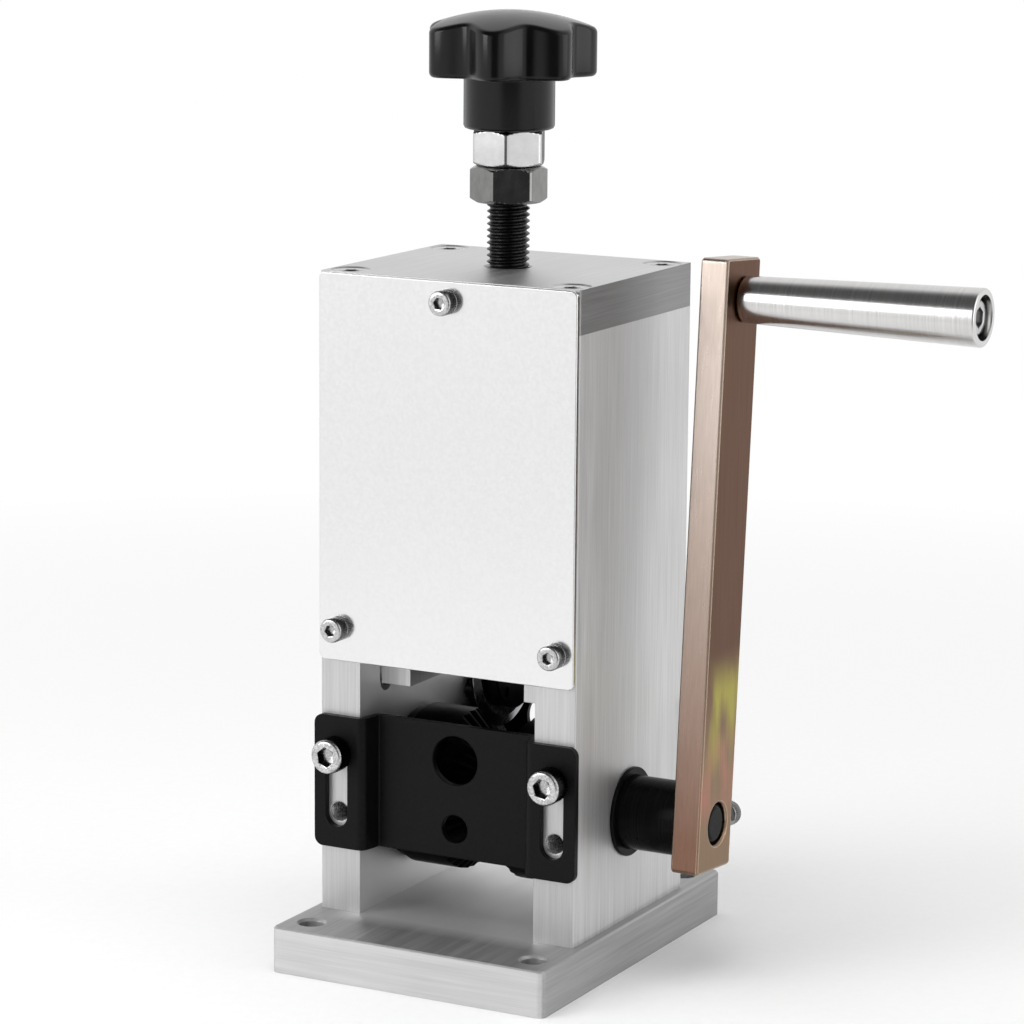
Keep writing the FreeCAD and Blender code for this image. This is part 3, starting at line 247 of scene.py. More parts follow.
def brushed_bar(name, ends, fronts, tops, along, front_along=None, streak=0.35, rough=(0.28, 0.42),
                metal=1.0, inner_painted_light=None):
    """Belt-finished bar: (dark, light) for the faces across X, Y and Z as painted light and shade, and the
    axis that lines follow.
    With inner_painted_light, that tone is painted light on the faces between the side plates."""
    material, tree = blank_finish(name)
    where = add(tree, "ShaderNodeTexCoord")
    parts = facing_of(tree, where)
    on_face = {axis: add(tree, "ShaderNodeMapRange", {"Value": parts[axis], **FACED}) for axis in "XYZ"}
    marks = belt_lines(tree, where, along, streak)
    if front_along is not None:
        front_marks = belt_lines(tree, where, front_along, streak)
        marks = add(tree, "ShaderNodeMix", {"Factor": on_face["Y"], "A": marks, "B": front_marks})
    share = add(tree, "ShaderNodeMapRange", {"Value": marks, **between(0.34, 0.66)})
    # Each face's own pair of tones is painted light and shade: the same metal lighter or darker by the way it
    # faces the light.
    tone = add(tree, "ShaderNodeMix", {"Factor": share, "A": fronts[0], "B": fronts[1]}, data_type="RGBA")
    for axis, pair in (("X", ends), ("Z", tops)):
        own = add(tree, "ShaderNodeMix", {"Factor": share, "A": pair[0], "B": pair[1]}, data_type="RGBA")
        tone = add(tree, "ShaderNodeMix", {"Factor": on_face[axis], "A": tone, "B": own}, data_type="RGBA")
    # Painted light: a brighter tone on the faces between the side plates, where little light reaches.
    if inner_painted_light:
        inside = painted_light_share(tree, where, on_face["Y"])
        tone = add(tree, "ShaderNodeMix", {"Factor": inside, "A": tone, "B": inner_painted_light}, data_type="RGBA")
    cloud = marks_of(tree, where, (45, 60, 60), 2.0)
    dim = add(tree, "ShaderNodeMapRange", {"Value": cloud, **NOISE_SPAN, "To Max": 0.12})
    tone = add(tree, "ShaderNodeMix", {"Factor": dim, "A": tone, "B": "#9a9a98"}, data_type="RGBA",
               blend_type="MULTIPLY")
    edge = add(tree, "ShaderNodeBevel", {"Radius": 0.3 * MM}, samples=BEVEL_RAYS)
    close_finish(tree, tone, marks, rough, 0.012, edge, metal)
    return material


# The tones for ends, fronts and tops below are painted light and shade.
SIDE_BAR = brushed_bar("belt_finished_aluminium_upright", ("#c4c4c4", "#dcdcdc"), ("#bababa", "#cecece"),
                       ("#b0b0b0", "#c0c0c0"), along=Z, rough=(0.38, 0.52), metal=0.8, inner_painted_light="#f4f4f4")
LID_BAR = brushed_bar("belt_finished_aluminium_lid", ("#868686", "#9c9c9c"), ("#c0c0c0", "#d0d0d0"),
                      ("#d4d4d4", "#e4e4e4"), along=Y, front_along=X, rough=(0.38, 0.52))
BASE_BAR = brushed_bar("belt_finished_aluminium_base", ("#9a9a9a", "#b2b2b2"), ("#c6c6c6", "#dadada"),
                       ("#9c9c9c", "#bababa"), along=Y, front_along=X, streak=0.55, rough=(0.45, 0.57),
                       metal=0.75, inner_painted_light="#ececec")
BLOCK = brushed_bar("milled_aluminium_block", ("#b2b2b2", "#c6c6c6"), ("#c0c0c0", "#d4d4d4"),
                    ("#a8a8a8", "#bcbcbc"), along=Z, metal=0.85)
print("bars:", [m.name for m in (SIDE_BAR, LID_BAR, BASE_BAR, BLOCK)])

# %% [markdown]
# ## Worked surfaces
# All other finishes share one plan. A noise stands for the marks of the last process: turning,
# grinding, plating, powder or the mould. It shades the colour between two close tones, makes the
# gloss a little uneven and gives a shallow relief. What tells the finishes apart is the size of the
# marks, the width of the highlight and whether the surface is metal, so these are the arguments.
# - The cover is bright rolled stainless sheet, which mirrors its own screws softly.
# - The guide plates are powder coated: satin black with an orange peel of about 0.9 mm.
# - The shaft, roller and bushes are steel blackened in an oxide bath. The oiled oxide hides the
#   steel, so it is written as a black coat and not as a metal.
# - The knob is compression-moulded phenolic, deep black, with the faint flow of the moulding and a
#   soft sheen from handling.
# - Screw heads are bright, and their knurled sides are darker with a painted shade: a side tone
#   covers each face that doesn't look along Y.
# - One nut is bright zinc, one is oiled plain steel, the grip and the axle are turned steel.

# %% Worked surfaces
def worked(name, dark, light, rough, cells_mm, depth_mm=0.006, edge_mm=0.2, spread=0.06, metallic=1.0,
           sides=None, **extra):
    """Marks of the given cells mix two tones, vary the roughness by +-spread and give relief.
    With sides, a third tone, a painted shade, covers every face that doesn't look along Y."""
    material, tree = blank_finish(name)
    where = add(tree, "ShaderNodeTexCoord")
    marks = marks_of(tree, where, cells_mm, 2.5, 0.6)
    share = add(tree, "ShaderNodeMapRange", {"Value": marks, **between(0.32, 0.68)})
    tone = add(tree, "ShaderNodeMix", {"Factor": share, "A": dark, "B": light}, data_type="RGBA")
    # Painted shade on the sides of screw heads and nut flats.
    if sides is not None:
        end_on = facing_of(tree, where)["Y"]
        end_face = add(tree, "ShaderNodeMapRange", {"Value": end_on, **between(0.3, 0.6)})
        tone = add(tree, "ShaderNodeMix", {"Factor": end_face, "A": sides, "B": tone}, data_type="RGBA")
    edge = add(tree, "ShaderNodeBevel", {"Radius": edge_mm * MM}, samples=BEVEL_RAYS)
    sockets = {key.replace("_", " "): value for key, value in extra.items()}
    close_finish(tree, tone, marks, (rough - spread, rough + spread), depth_mm, edge, metallic, **sockets)
    return material


COVER_SHEET = worked("bright_rolled_stainless", "#e6e6e6", "#eaeaea", 0.17, (0.9, 0.9, 0.9), 0.001,
                     edge_mm=0.3, spread=0.03)
GUIDE_COAT = worked("black_powder_coat", "#0a0a0b", "#101011", 0.42, (0.9, 0.9, 0.9), 0.01,
                    edge_mm=0.4, metallic=0.0, Specular_IOR_Level=0.12)
OXIDE = worked("black_oxide_steel", "#060606", "#0b0b0b", 0.34, (5.0, 5.0, 5.0), 0.008,
               metallic=0.0, Specular_IOR_Level=0.05)
OXIDE_TURNED = worked("black_oxide_turned_steel", "#090909", "#101010", 0.24, (0.45, 40.0, 40.0), 0.006,
                      metallic=0.0, Specular_IOR_Level=0.06)
OXIDE_THREAD = worked("black_oxide_thread", "#050505", "#0a0a0a", 0.3, (1.5, 1.5, 1.5), 0.004,
                      metallic=0.0, Specular_IOR_Level=0.3)
PHENOLIC = worked("moulded_black_phenolic", "#040404", "#090909", 0.22, (9.0, 9.0, 14.0), 0.02,
                  spread=0.04, metallic=0.0, Specular_IOR_Level=0.3, Sheen_Weight=0.5, Sheen_Roughness=0.12)
ZINC = worked("bright_zinc_plate", "#b4b5b6", "#d0d0d0", 0.22, (1.6, 1.6, 1.6))
# The side tones below are painted shade on the knurled sides and on the nut's flats.
BIG_HEAD = worked("head_with_painted_shade_on_sides", "#a2a2a2", "#dcdcdc", 0.24, (0.6, 0.6, 0.6),
                  sides="#1c1c1c")
SMALL_HEAD = worked("zinc_head_with_painted_shade_on_sides", "#a8a8a8", "#d2d2d2", 0.24, (0.6, 0.6, 0.6),
                    sides="#6e6e6e")
ARM_HEAD = worked("set_screw_with_painted_shade_on_sides", "#a0a0a0", "#bcbcbc", 0.18, (1.2, 1.2, 1.2), sides="#3a3a3a")
CUT_THREAD = worked("freshly_cut_aluminium", "#a6a6a6", "#c8c8c8", 0.26, (0.8, 0.8, 0.8), metallic=0.85)
BRIGHT_NUT = worked("polished_zinc_nut", "#c2c2c2", "#c8c8c8", 0.22, (4.0, 4.0, 4.0), 0.001, spread=0.02)
OILED = worked("oiled_plain_steel", "#7a7a79", "#8a8a89", 0.16, (3.4, 3.4, 5.0), 0.003, spread=0.03)
GRIP_STEEL = worked("satin_turned_steel", "#cccbca", "#dad9d8", 0.2, (0.5, 50.0, 50.0), 0.002, spread=0.03)
AXLE_STEEL = worked("turned_axle_steel", "#a4a4a4", "#c2c2c2", 0.3, (0.4, 40.0, 40.0))
BLADE_STEEL = worked("ground_blade_steel", "#84858a", "#9c9d9f", 0.22, (8.0, 1.5, 1.5), 0.001, spread=0.03)
print("worked surfaces are ready")

# %% [markdown]
# ## Yellow passivation
# The crank arm is zinc plated steel with a yellow chromate film. The film is about as thick as a
# wavelength of light, so its colour drifts between beige, brown, olive and pink, like oil on water.
# It could be made with a thin-film shader, but the drift follows the bath and not the angle of view,
# so it is painted. The narrow edges and the broad faces each have their own tone, which is painted
# light and shade: lit edges beside darker broad faces. Along the arm the edges grow lighter towards the
# top and the broad faces darker, and two slow noises lay olive and pink over the thicker, lower end.
# Along the edges a pale painted highlight stands for a small chamfer that catches the light; it is
# found where the rounded normal departs from the flat one.

# %% Yellow chromate
EDGE_DRIFT_MM, BROAD_DRIFT_MM = (40.0, 161.5), (64.0, 94.0)
OLIVE = (73.0, 20.0, (30, 12, 34), "#a89e44", 0.42, 0.62)
PINK = (58.0, 15.0, (24, 10, 20), "#ab7663", 0.60, 0.40)


def film_patch(tree, where, height, tone, patch):
    """A tone with one colour laid over it: the noise's patches, times a window round a height."""
    middle_mm, reach_mm, cells_mm, colour, start, full = patch
    off = add(tree, "ShaderNodeMath", {0: height, 1: middle_mm * MM}, operation="SUBTRACT")
    off = add(tree, "ShaderNodeMath", {0: off}, operation="ABSOLUTE")
    window = add(tree, "ShaderNodeMapRange", {"Value": off, **between(reach_mm * MM, 0.3 * reach_mm * MM)},
                 interpolation_type="SMOOTHSTEP")
    film = marks_of(tree, where, cells_mm, 2.0)
    spots = add(tree, "ShaderNodeMapRange", {"Value": film, **between(start, full)})
    share = add(tree, "ShaderNodeMath", {0: spots, 1: window}, operation="MULTIPLY")
    return add(tree, "ShaderNodeMix", {"Factor": share, "A": tone, "B": colour}, data_type="RGBA")


def yellow_chromate(name):
    """Colour by height, apart for the edges and the broad faces as painted light and shade, with two patches
    and a painted highlight on the edges.
    """
    material, tree = blank_finish(name)
    where = add(tree, "ShaderNodeTexCoord")
    height = add(tree, "ShaderNodeSeparateXYZ", {"Vector": where.outputs["Object"]}).outputs["Z"]
    # The edges and the broad faces get tones of their own: painted light and shade.
    tones = []
    for (low, high), dark, light in ((EDGE_DRIFT_MM, "#846555", "#c9bab0"),
                                     (BROAD_DRIFT_MM, "#8c7156", "#5c3618")):
        rise = add(tree, "ShaderNodeMapRange", {"Value": height, **between(low * MM, high * MM)})
        tones.append(add(tree, "ShaderNodeMix", {"Factor": rise, "A": dark, "B": light}, data_type="RGBA"))
    narrow, wide = tones
    for patch in (OLIVE, PINK):
        wide = film_patch(tree, where, height, wide, patch)
    # The broad faces take their darker tone here, a painted shade beside the lit edges.
    broad = add(tree, "ShaderNodeMapRange", {"Value": facing_of(tree, where)["X"], **FACED})
    tone = add(tree, "ShaderNodeMix", {"Factor": broad, "A": narrow, "B": wide}, data_type="RGBA")
    drawn = marks_of(tree, where, (0.6, 0.6, 30), 2.0)
    dim = add(tree, "ShaderNodeMapRange", {"Value": drawn, **NOISE_SPAN, "To Max": 0.10})
    tone = add(tree, "ShaderNodeMix", {"Factor": dim, "A": tone, "B": "#5a4a3e"}, data_type="RGBA",
               blend_type="MULTIPLY")
    edge = add(tree, "ShaderNodeBevel", {"Radius": 0.5 * MM}, samples=BEVEL_RAYS)
    flat = add(tree, "ShaderNodeNewGeometry").outputs["Normal"]
    turned = add(tree, "ShaderNodeVectorMath", {0: edge, 1: flat}, operation="DOT_PRODUCT")
    # A pale painted highlight along the edges, where the rounded normal turns away from the flat one.
    painted_edge_highlight = add(tree, "ShaderNodeMapRange", {"Value": turned, **between(0.98, 0.85)})
    tone = add(tree, "ShaderNodeMix", {"Factor": painted_edge_highlight, "A": tone, "B": "#efe3cc"}, data_type="RGBA")
    close_finish(tree, tone, drawn, (0.27, 0.36), 0.004, edge, 1.0)
    return material


CHROMATE = yellow_chromate("yellow_chromate_zinc")
print(CHROMATE.name, "has", len(CHROMATE.node_tree.nodes), "nodes")

# %% [markdown]
# ## Finishes on the frame's own pieces
# Pieces whose solids already have the right shape keep them and only get their finish. The rest are
# replaced further down by surfaces with threads, knurls and rounded edges.

# %% Dress the solids
FINISHES = {
    "base_plate": BASE_BAR, "left_side_plate": SIDE_BAR, "right_side_plate": SIDE_BAR,
    "top_plate": LID_BAR, "blade_carriage": BLOCK,
    "guide_plate": GUIDE_COAT, "rear_guide_plate": GUIDE_COAT,
    "left_bush": OXIDE_TURNED, "right_bush": OXIDE_TURNED, "drive_shaft": OXIDE_TURNED,
    "feed_roller": OXIDE, "roller_set_screws": OXIDE, "retaining_clip": OXIDE, "thrust_washer": ZINC,
    "blade_axle": AXLE_STEEL, "blade_spacers": AXLE_STEEL, "blade_hub": OXIDE,
    "blade_clamp_ring": OXIDE, "blade_disc": BLADE_STEEL, "blade_screws": OXIDE,
    "crank_arm": CHROMATE, "grip_sleeve": GRIP_STEEL, "base_screws": ZINC,
}
for node, material in FINISHES.items():
    for slot in frame["nodes"][node].material_slots:
        slot.material = material
print("dressed", len(FINISHES), "of", len(frame["nodes"]), "nodes")

# %% [markdown]
# ## Closed surfaces
# Threads, knurls, nuts, sockets and the knob are all rings stacked along an axis. A ring may be
# round, six-sided or wavy, because its radius may differ with the angle. They could be made with
# booleans, but those leave long thin faces that shade badly. A stack of rings stays even, it is
# worked out as whole arrays, and it can go up the outside of a head and down into its socket as one
# closed skin. Quads join each ring to the next, and a fan closes each end.


def around(count):
    """Angles of so many equal steps round a circle, in radians."""
    return np.arange(count) * 2.0 * math.pi / count


def stack(stations, angle):
    """Rings: the point of height w and angle a lies at (r cos a, r sin a, w), where r may depend on a."""
    height = np.array([w for w, r in stations])[:, None] * np.ones(len(angle))
    radius = np.array([r * np.ones(len(angle)) for w, r in stations])
    return np.stack([radius * np.cos(angle), radius * np.sin(angle), height], axis=2)


def placed(rings, origin, axis, turn=0.0):
    """Rings turned by some degrees about their own Z, which is laid along the axis, and moved."""
    z = np.array(axis, float) / np.linalg.norm(axis)
    x = np.cross([0.0, 1.0, 0.0] if abs(z[2]) > 0.9 else [0.0, 0.0, 1.0], z)
    x = x / np.linalg.norm(x)
    y, t = np.cross(z, x), math.radians(turn)
    turned = np.array([math.cos(t) * x + math.sin(t) * y, math.cos(t) * y - math.sin(t) * x, z])
    return rings @ turned + origin


def closed_skin(rings):
    """Points and faces: quads between neighbouring rings, and a fan to the middle of each end ring."""
    count, sectors = rings.shape[:2]
    points = np.vstack([rings.reshape(-1, 3), rings[0].mean(axis=0), rings[-1].mean(axis=0)])
    here = np.arange(sectors)
    after = (here + 1) % sectors
    start = (np.arange(count - 1) * sectors)[:, None]
    quads = np.stack([start + here, start + after, start + sectors + after, start + sectors + here], axis=2)
    low, high = np.full(sectors, count * sectors), np.full(sectors, count * sectors + 1)
    last = (count - 1) * sectors
    fans = np.vstack([np.column_stack([low, after, here]),
                      np.column_stack([high, last + here, last + after])])
    return points, quads.reshape(-1, 4), fans


def make_piece(name, shells, material, body, stands_for=None, sharp=32.0):
    """One object of closed skins in mm, smooth up to a sharp angle, that rides on a body."""
    points, faces, base = [], [], 0
    for rings in shells:
        spots, quads, fans = closed_skin(rings)
        points.append(spots)
        faces += (quads + base).tolist() + (fans + base).tolist()
        base += len(spots)
    mesh = bpy.data.meshes.new(name)
    mesh.from_pydata((np.vstack(points) * MM).tolist(), [], faces)
    mesh.shade_smooth()
    mesh.set_sharp_from_angle(angle=math.radians(sharp))
    mesh.materials.append(material)
    piece = bpy.data.objects.new(name, mesh)
    scene.collection.objects.link(piece)
    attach(piece, body)
    if stands_for:
        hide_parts(stands_for)
    print(name, "stands for", stands_for, "with", len(mesh.polygons), "faces")


# %% [markdown]
# ## Cap screws
# Hex socket cap screws hold the cover and the guide plates. Their heads are knurled, so that they
# can be started by hand. A knurl is pressed in by rollers as fine straight grooves. It could be left
# to a bump, but its outline shows against the light, so it is cut as real grooves, a little coarser
# than the real ones. The socket's six walls are part of the same stack, with a drill point below.

# %% Heads of screws
GROOVES = 36
HEAD_STEPS = 2 * GROOVES  # one step on each ridge and one in each groove
LEAD_MM = 0.3  # the taper at a screw's end, where it finds its hole
M4 = {"head": 7.0, "height": 4.0, "across": 3.0, "shank": 2.0}
M6 = {"head": 10.0, "height": 6.0, "across": 5.0, "shank": 3.0}


def six_sided(across, angle):
    """A hexagon's radius: half the width across flats over cos of the angle to the nearest flat."""
    return across / 2.0 / np.cos((angle % (math.pi / 3.0)) - math.pi / 6.0)


def socket(top, across, deep, angle):
    """Stations in from a round rim, over a shallow chamfer, down six walls and to the drill's point."""
    walls = six_sided(across, angle)
    return [(top, 0.6 * across), (top - 0.03 * across, walls), (top - deep, walls),
            (top - deep, across * 0.44), (top - deep - across * 0.2, 0.05)]


def shank_up(shank, reach, top):
    """Stations from a tapered end, reach below the seat, up a plain shank of that radius."""
    return [(-reach, 0.7 * shank), (LEAD_MM - reach, shank), (top, shank)]


def cap_head(head, height, across, shank, reach):
    """From the shank's end to the socket: a grooved wall r = head / 2 - depth on every other step."""
    angle = around(HEAD_STEPS)
    radius = head / 2.0
    wall = radius - np.where(np.arange(HEAD_STEPS) % 2, 0.035 * radius, 0.0)
    side = [(0.0, 0.93 * radius), (0.05 * height, wall), (0.86 * height, wall)]
    crown = [(0.9 * height, 0.96 * radius), (0.97 * height, 0.9 * radius), (height, 0.84 * radius)]
    walls = shank_up(shank, reach, 0.0) + side + crown
    return stack(walls + socket(height, across, 0.55 * height, angle), angle)


def sunk_head(head, across, shank, reach):
    """A 90 degree cone under a flat top: the radius grows with the height until the head's rim."""
    angle = around(HEAD_STEPS)
    rim = head / 2.0
    cone = [(-0.25, rim - 0.05), (-0.08, rim), (0.0, rim - 0.1)]
    walls = shank_up(shank, reach, shank - rim) + cone
    return stack(walls + socket(0.0, across, 2.2, angle), angle)


small, big = cap_head(**M4, reach=9.0), cap_head(**M6, reach=13.5)
print("a small head has", small.shape[0], "rings of", small.shape[1], "points")

# %% Screws of the frame
COLUMN_MM = 34.0  # from the middle to the screws of each side plate
cover_low, cover_high = box_mm("front_cover")
low_row, high_row = cover_low[Z] + 9.1, cover_high[Z] - 5.6
spots = ((-COLUMN_MM, low_row, 10.0), (COLUMN_MM, low_row, 34.0), (0.0, high_row, 52.0))
make_piece("cover_cap_screws", [placed(small, (x, cover_low[Y], z), FRONT, turn) for x, z, turn in spots],
           SMALL_HEAD, "frame", "front_cover_screws")
for name, node, way, degrees in (("front_guide_cap_screws", "guide_plate_screws", FRONT, (-20.0, 48.0)),
                                 ("rear_guide_cap_screws", "rear_guide_screws", REAR, (42.0, -26.0))):
    seat = way[Y] * (reach_of(node, way) - M6["height"])
    row = np.mean(box_mm(node), axis=0)[Z]
    columns = zip((-COLUMN_MM, COLUMN_MM), degrees)
    make_piece(name, [placed(big, (x, seat, row), way, turn) for x, turn in columns], BIG_HEAD, "frame", node)
lid_head = sunk_head(head=10.6, across=4.0, shank=3.0, reach=20.0)
lid_seat = reach_of("top_plate_screws", UP)
corners = [(x, y) for x in (-COLUMN_MM, COLUMN_MM) for y in (-28.0, 28.0)]
make_piece("lid_sunk_screws", [placed(lid_head, (x, y, lid_seat), UP, x + 2.0 * y) for x, y in corners],
           ZINC, "frame", "top_plate_screws")

# %% Screws of the crank
def axis_mm(joint):
    """A place on the axis of a joint, in mm, rounded to a hundredth."""
    return next(np.round(np.array(j["pos_m"]) / MM, 2) for j in frame["joints"] if j["name"] == joint)


SCREW_SEAT_MM, NUT_SEAT_MM = 13.57, 9.22  # from the shaft's axis, along the screw in the arm's edge
grip_axis, shaft_axis = axis_mm("grip_spin"), axis_mm("crank_turn")
throw = grip_axis - shaft_axis
lean = math.atan2(throw[Y], throw[Z])
edge_way = np.array([0.0, math.cos(lean), -math.sin(lean)])
arm_middle = np.array([np.mean(box_mm("crank_arm"), axis=0)[X], shaft_axis[Y], shaft_axis[Z]])
make_piece("arm_edge_screw", [placed(small, arm_middle + SCREW_SEAT_MM * edge_way, edge_way, 20.0)],
           ARM_HEAD, "crank", "arm_clamp_screw")
grip_seat = (reach_of("grip_bolt", RIGHT) - M6["height"], grip_axis[Y], grip_axis[Z])
make_piece("grip_cap_bolt", [placed(cap_head(**M6, reach=69.0), grip_seat, RIGHT, 25.0)],
           BRIGHT_NUT, "crank", "grip_bolt")
print("the arm leans by", round(math.degrees(lean), 2), "degrees")

# %% [markdown]
# ## Threads in the spare holes
# Each side plate has a second tapped hole under the one in use, which shows through the slots of the
# guide plates. A solid model keeps such a hole plain. The cut thread could be screwed into it with
# a boolean, but a thin lining is enough: a cup whose outside lies hidden in the plate, and whose
# inside is a real M6 thread with a pitch of 1 mm.

# %% Tapped holes
HOLE_HEIGHT_MM, HOLE_DEPTH_MM = 42.0, 9.0


def screw_wave(height, pitch, angle):
    """|2 frac(w / pitch - a / 2 pi) - 1|: 0 on a thread's crest and 1 in its groove, in a right-hand turn."""
    return np.abs(2.0 * ((height[:, None] / pitch - angle / (2.0 * math.pi)) % 1.0) - 1.0)


def hole_thread(minor, major, pitch, deep, angle):
    """Up the outside, then down the inside with r = minor + (major - minor) * the wave."""
    height = np.arange(-0.4, -deep, -pitch / 12.0)
    outer = [(-deep - 0.6, 1.08 * major), (-0.3, 1.08 * major), (-0.3, 0.98 * major)]
    inner = list(zip(height, minor + (major - minor) * screw_wave(height, pitch, angle)))
    return outer + inner + [(-deep, minor)]


turns = around(48)
lining = stack(hole_thread(minor=2.5, major=3.0, pitch=1.0, deep=HOLE_DEPTH_MM, angle=turns), turns)
cups = []
for x in (-COLUMN_MM, COLUMN_MM):
    for way in (FRONT, REAR):
        mouth = (x, way[Y] * reach_of("left_side_plate", way), HOLE_HEIGHT_MM)
        cups.append(placed(lining, mouth, way))
make_piece("spare_hole_threads", cups, CUT_THREAD, "frame")

# %% [markdown]
# ## The cover sheet
# The cover is a sheet of stainless steel, 1.5 mm thick, sheared to size, with its corners just taken
# off on the belt. It could be a bevelled box, but rings that follow a rounded rectangle give the
# small corners and the broken edges at once, as closed as every other skin here.

# %% Cover
def sheet_outline(wide, tall, corner):
    """Four quarter circles of radius corner, about points set in from the rectangle's corners."""
    quarter = np.linspace(0.0, 0.5 * math.pi, 9)
    arcs = []
    for k, (right, up) in enumerate(((1, 1), (-1, 1), (-1, -1), (1, -1))):
        t = quarter + 0.5 * math.pi * k
        arcs.append(np.column_stack([right * (wide / 2.0 - corner) + corner * np.cos(t),
                                     up * (tall / 2.0 - corner) + corner * np.sin(t)]))
    return np.vstack(arcs)


def sheet(wide, tall, thick, corner, broken):
    """The outline at four heights, set in by the broken edge at the back and at the front."""
    rings = []
    for w, inset in ((0.0, broken), (broken, 0.0), (thick - broken, 0.0), (thick, broken)):
        outline = sheet_outline(wide - 2.0 * inset, tall - 2.0 * inset, corner - inset)
        rings.append(np.column_stack([outline, np.full(len(outline), w)]))
    return np.stack(rings)


wide, thick, tall = cover_high - cover_low
cover_middle = (0.0, cover_high[Y], (cover_low[Z] + cover_high[Z]) / 2.0)
make_piece("cover_sheet", [placed(sheet(wide, tall, thick, corner=1.8, broken=0.2), cover_middle, FRONT)],
           COVER_SHEET, "frame", "front_cover")

# %% [markdown]
# ## Nuts
# A nut is a hexagon whose corners are turned off by a 30 degree cone, which leaves the curved edges
# at the top and the bottom of each flat. The smaller of the two radii, hexagon or cone, gives
# exactly those curves, with no boolean. Handling has rubbed the six long corners a little flat. The
# bore starts in a shallow countersink, and is closed inside the thread, where nothing is seen.

# %% Nuts
def hex_nut(across, height, bore):
    """r = the smaller of the hexagon's radius, cut at 0.565 across, and 0.475 across + tan 60 * depth."""
    angle = around(192)
    walls = np.minimum(six_sided(across, angle), 0.565 * across)
    run = 0.07 * across * np.array([0.0, 0.12, 0.25, 0.4, 0.6, 0.8, 1.0])
    cone = [(w, np.minimum(walls, 0.475 * across + math.sqrt(3.0) * w)) for w in run]
    mouth = [(0.13 * height, 0.05), (0.13 * height, 0.9 * bore), (0.0, 1.12 * bore)]
    half = mouth + cone
    return stack(half + [(height - w, r) for w, r in reversed(half)], angle)


m12_nut = hex_nut(across=19.0, height=10.0, bore=6.0)
for name, node, turn, material in (("lower_hex_nut", "lower_nut", 32.5, OILED),
                                   ("upper_hex_nut", "upper_nut", -7.0, BRIGHT_NUT)):
    seat = (0.0, 0.0, box_mm(node)[0][Z])
    make_piece(name, [placed(m12_nut, seat, UP, turn)], material, "screw", node, sharp=20.0)
m4_nut = hex_nut(across=7.0, height=3.2, bore=2.0)
make_piece("arm_edge_nut", [placed(m4_nut, arm_middle + NUT_SEAT_MM * edge_way, edge_way, 12.0)],
           ARM_HEAD, "crank", "arm_lock_nut")

# %% [markdown]
# ## The adjusting screw
# The long screw is M12: a 60 degree thread that climbs 1.75 mm in each turn, with a flat crest an
# eighth of the pitch wide and a flat root a quarter wide. It could be a profile that is screwed
# round a spiral, but then its ends stay open. Here the radius is a function of height and angle on
# an upright grid, so the skin stays closed, and the groove fades out over one pitch at each end.
# Inside the nuts and the knob nothing shows, so the rod is plain there.

# %% Threaded rod
CREST_MM, PITCH_MM = 5.95, 1.75
THREAD_LOW_MM, THREAD_HIGH_MM = 161.0, 214.5
PIN_MM, CLIP_GROOVE_MM = 4.0, 3.2  # radii below the thread


def thread(crest, pitch, low, high, angle):
    """With the wave t, r = crest - 0.48 pitch * ((t - 1/8) / (5/8), kept between 0 and 1)."""
    height = np.arange(low, high, pitch / 16.0)
    fade = np.clip((height - low) / pitch, 0.0, 1.0) * np.clip((high - height) / pitch, 0.0, 1.0)
    cut = 0.48 * pitch * np.clip((screw_wave(height, pitch, angle) - 0.125) / 0.625, 0.0, 1.0)
    return list(zip(height, crest - cut * fade[:, None]))


# Each pair is a height and a radius: the pin with its clip's groove, the shoulder, and the plain top.
washer_top = reach_of("thrust_washer", UP)
pin = [(105.2, 3.6), (105.6, PIN_MM), (106.6, PIN_MM), (106.6, CLIP_GROOVE_MM), (107.95, CLIP_GROOVE_MM),
       (107.95, PIN_MM), (washer_top, PIN_MM)]
shoulder = [(washer_top, 5.0), (washer_top + 0.9, CREST_MM)]
plain_top = [(THREAD_HIGH_MM + 0.1, 5.9), (257.0, 5.9), (258.5, 5.0)]
rod = pin + shoulder + thread(CREST_MM, PITCH_MM, THREAD_LOW_MM, THREAD_HIGH_MM, turns) + plain_top
make_piece("threaded_spindle", [stack(rod, turns)], OXIDE_THREAD, "screw", "adjusting_screw")

# %% [markdown]
# ## The star knob
# The knob is moulded in one piece: a round hub, and a star with seven lobes for the fingers under a
# shallow dome. The outline could be pieced together from arcs, but the mould's lobes flow into the
# hollows, so one wave round a circle is closer to it. Each point keeps its outward direction, so the
# same outline set inwards gives the rounded rims, and shrunk towards the axis it gives the dome.

# %% Star knob
LOBES, STAR_MIDDLE_MM, STAR_SWING_MM = 7, 21.6, 2.4
LOW_RIM_MM, TOP_RIM_MM, BORE_MM = 1.5, 1.2, 6.4
DOME_RISE_MM, DOME_OUT_MM = 5.5, 25.0


def star_outline(middle, swing, lobes):
    """r = middle + swing cos(lobes a); its way out is (r cos a + r' sin a, r sin a - r' cos a)."""
    angle = around(lobes * 40)
    radius = middle + swing * np.cos(lobes * angle)
    slope = -lobes * swing * np.sin(lobes * angle)
    c, s = np.cos(angle), np.sin(angle)
    away = np.column_stack([radius * c + slope * s, radius * s - slope * c])
    return np.column_stack([radius * c, radius * s]), away / np.linalg.norm(away, axis=1, keepdims=True)


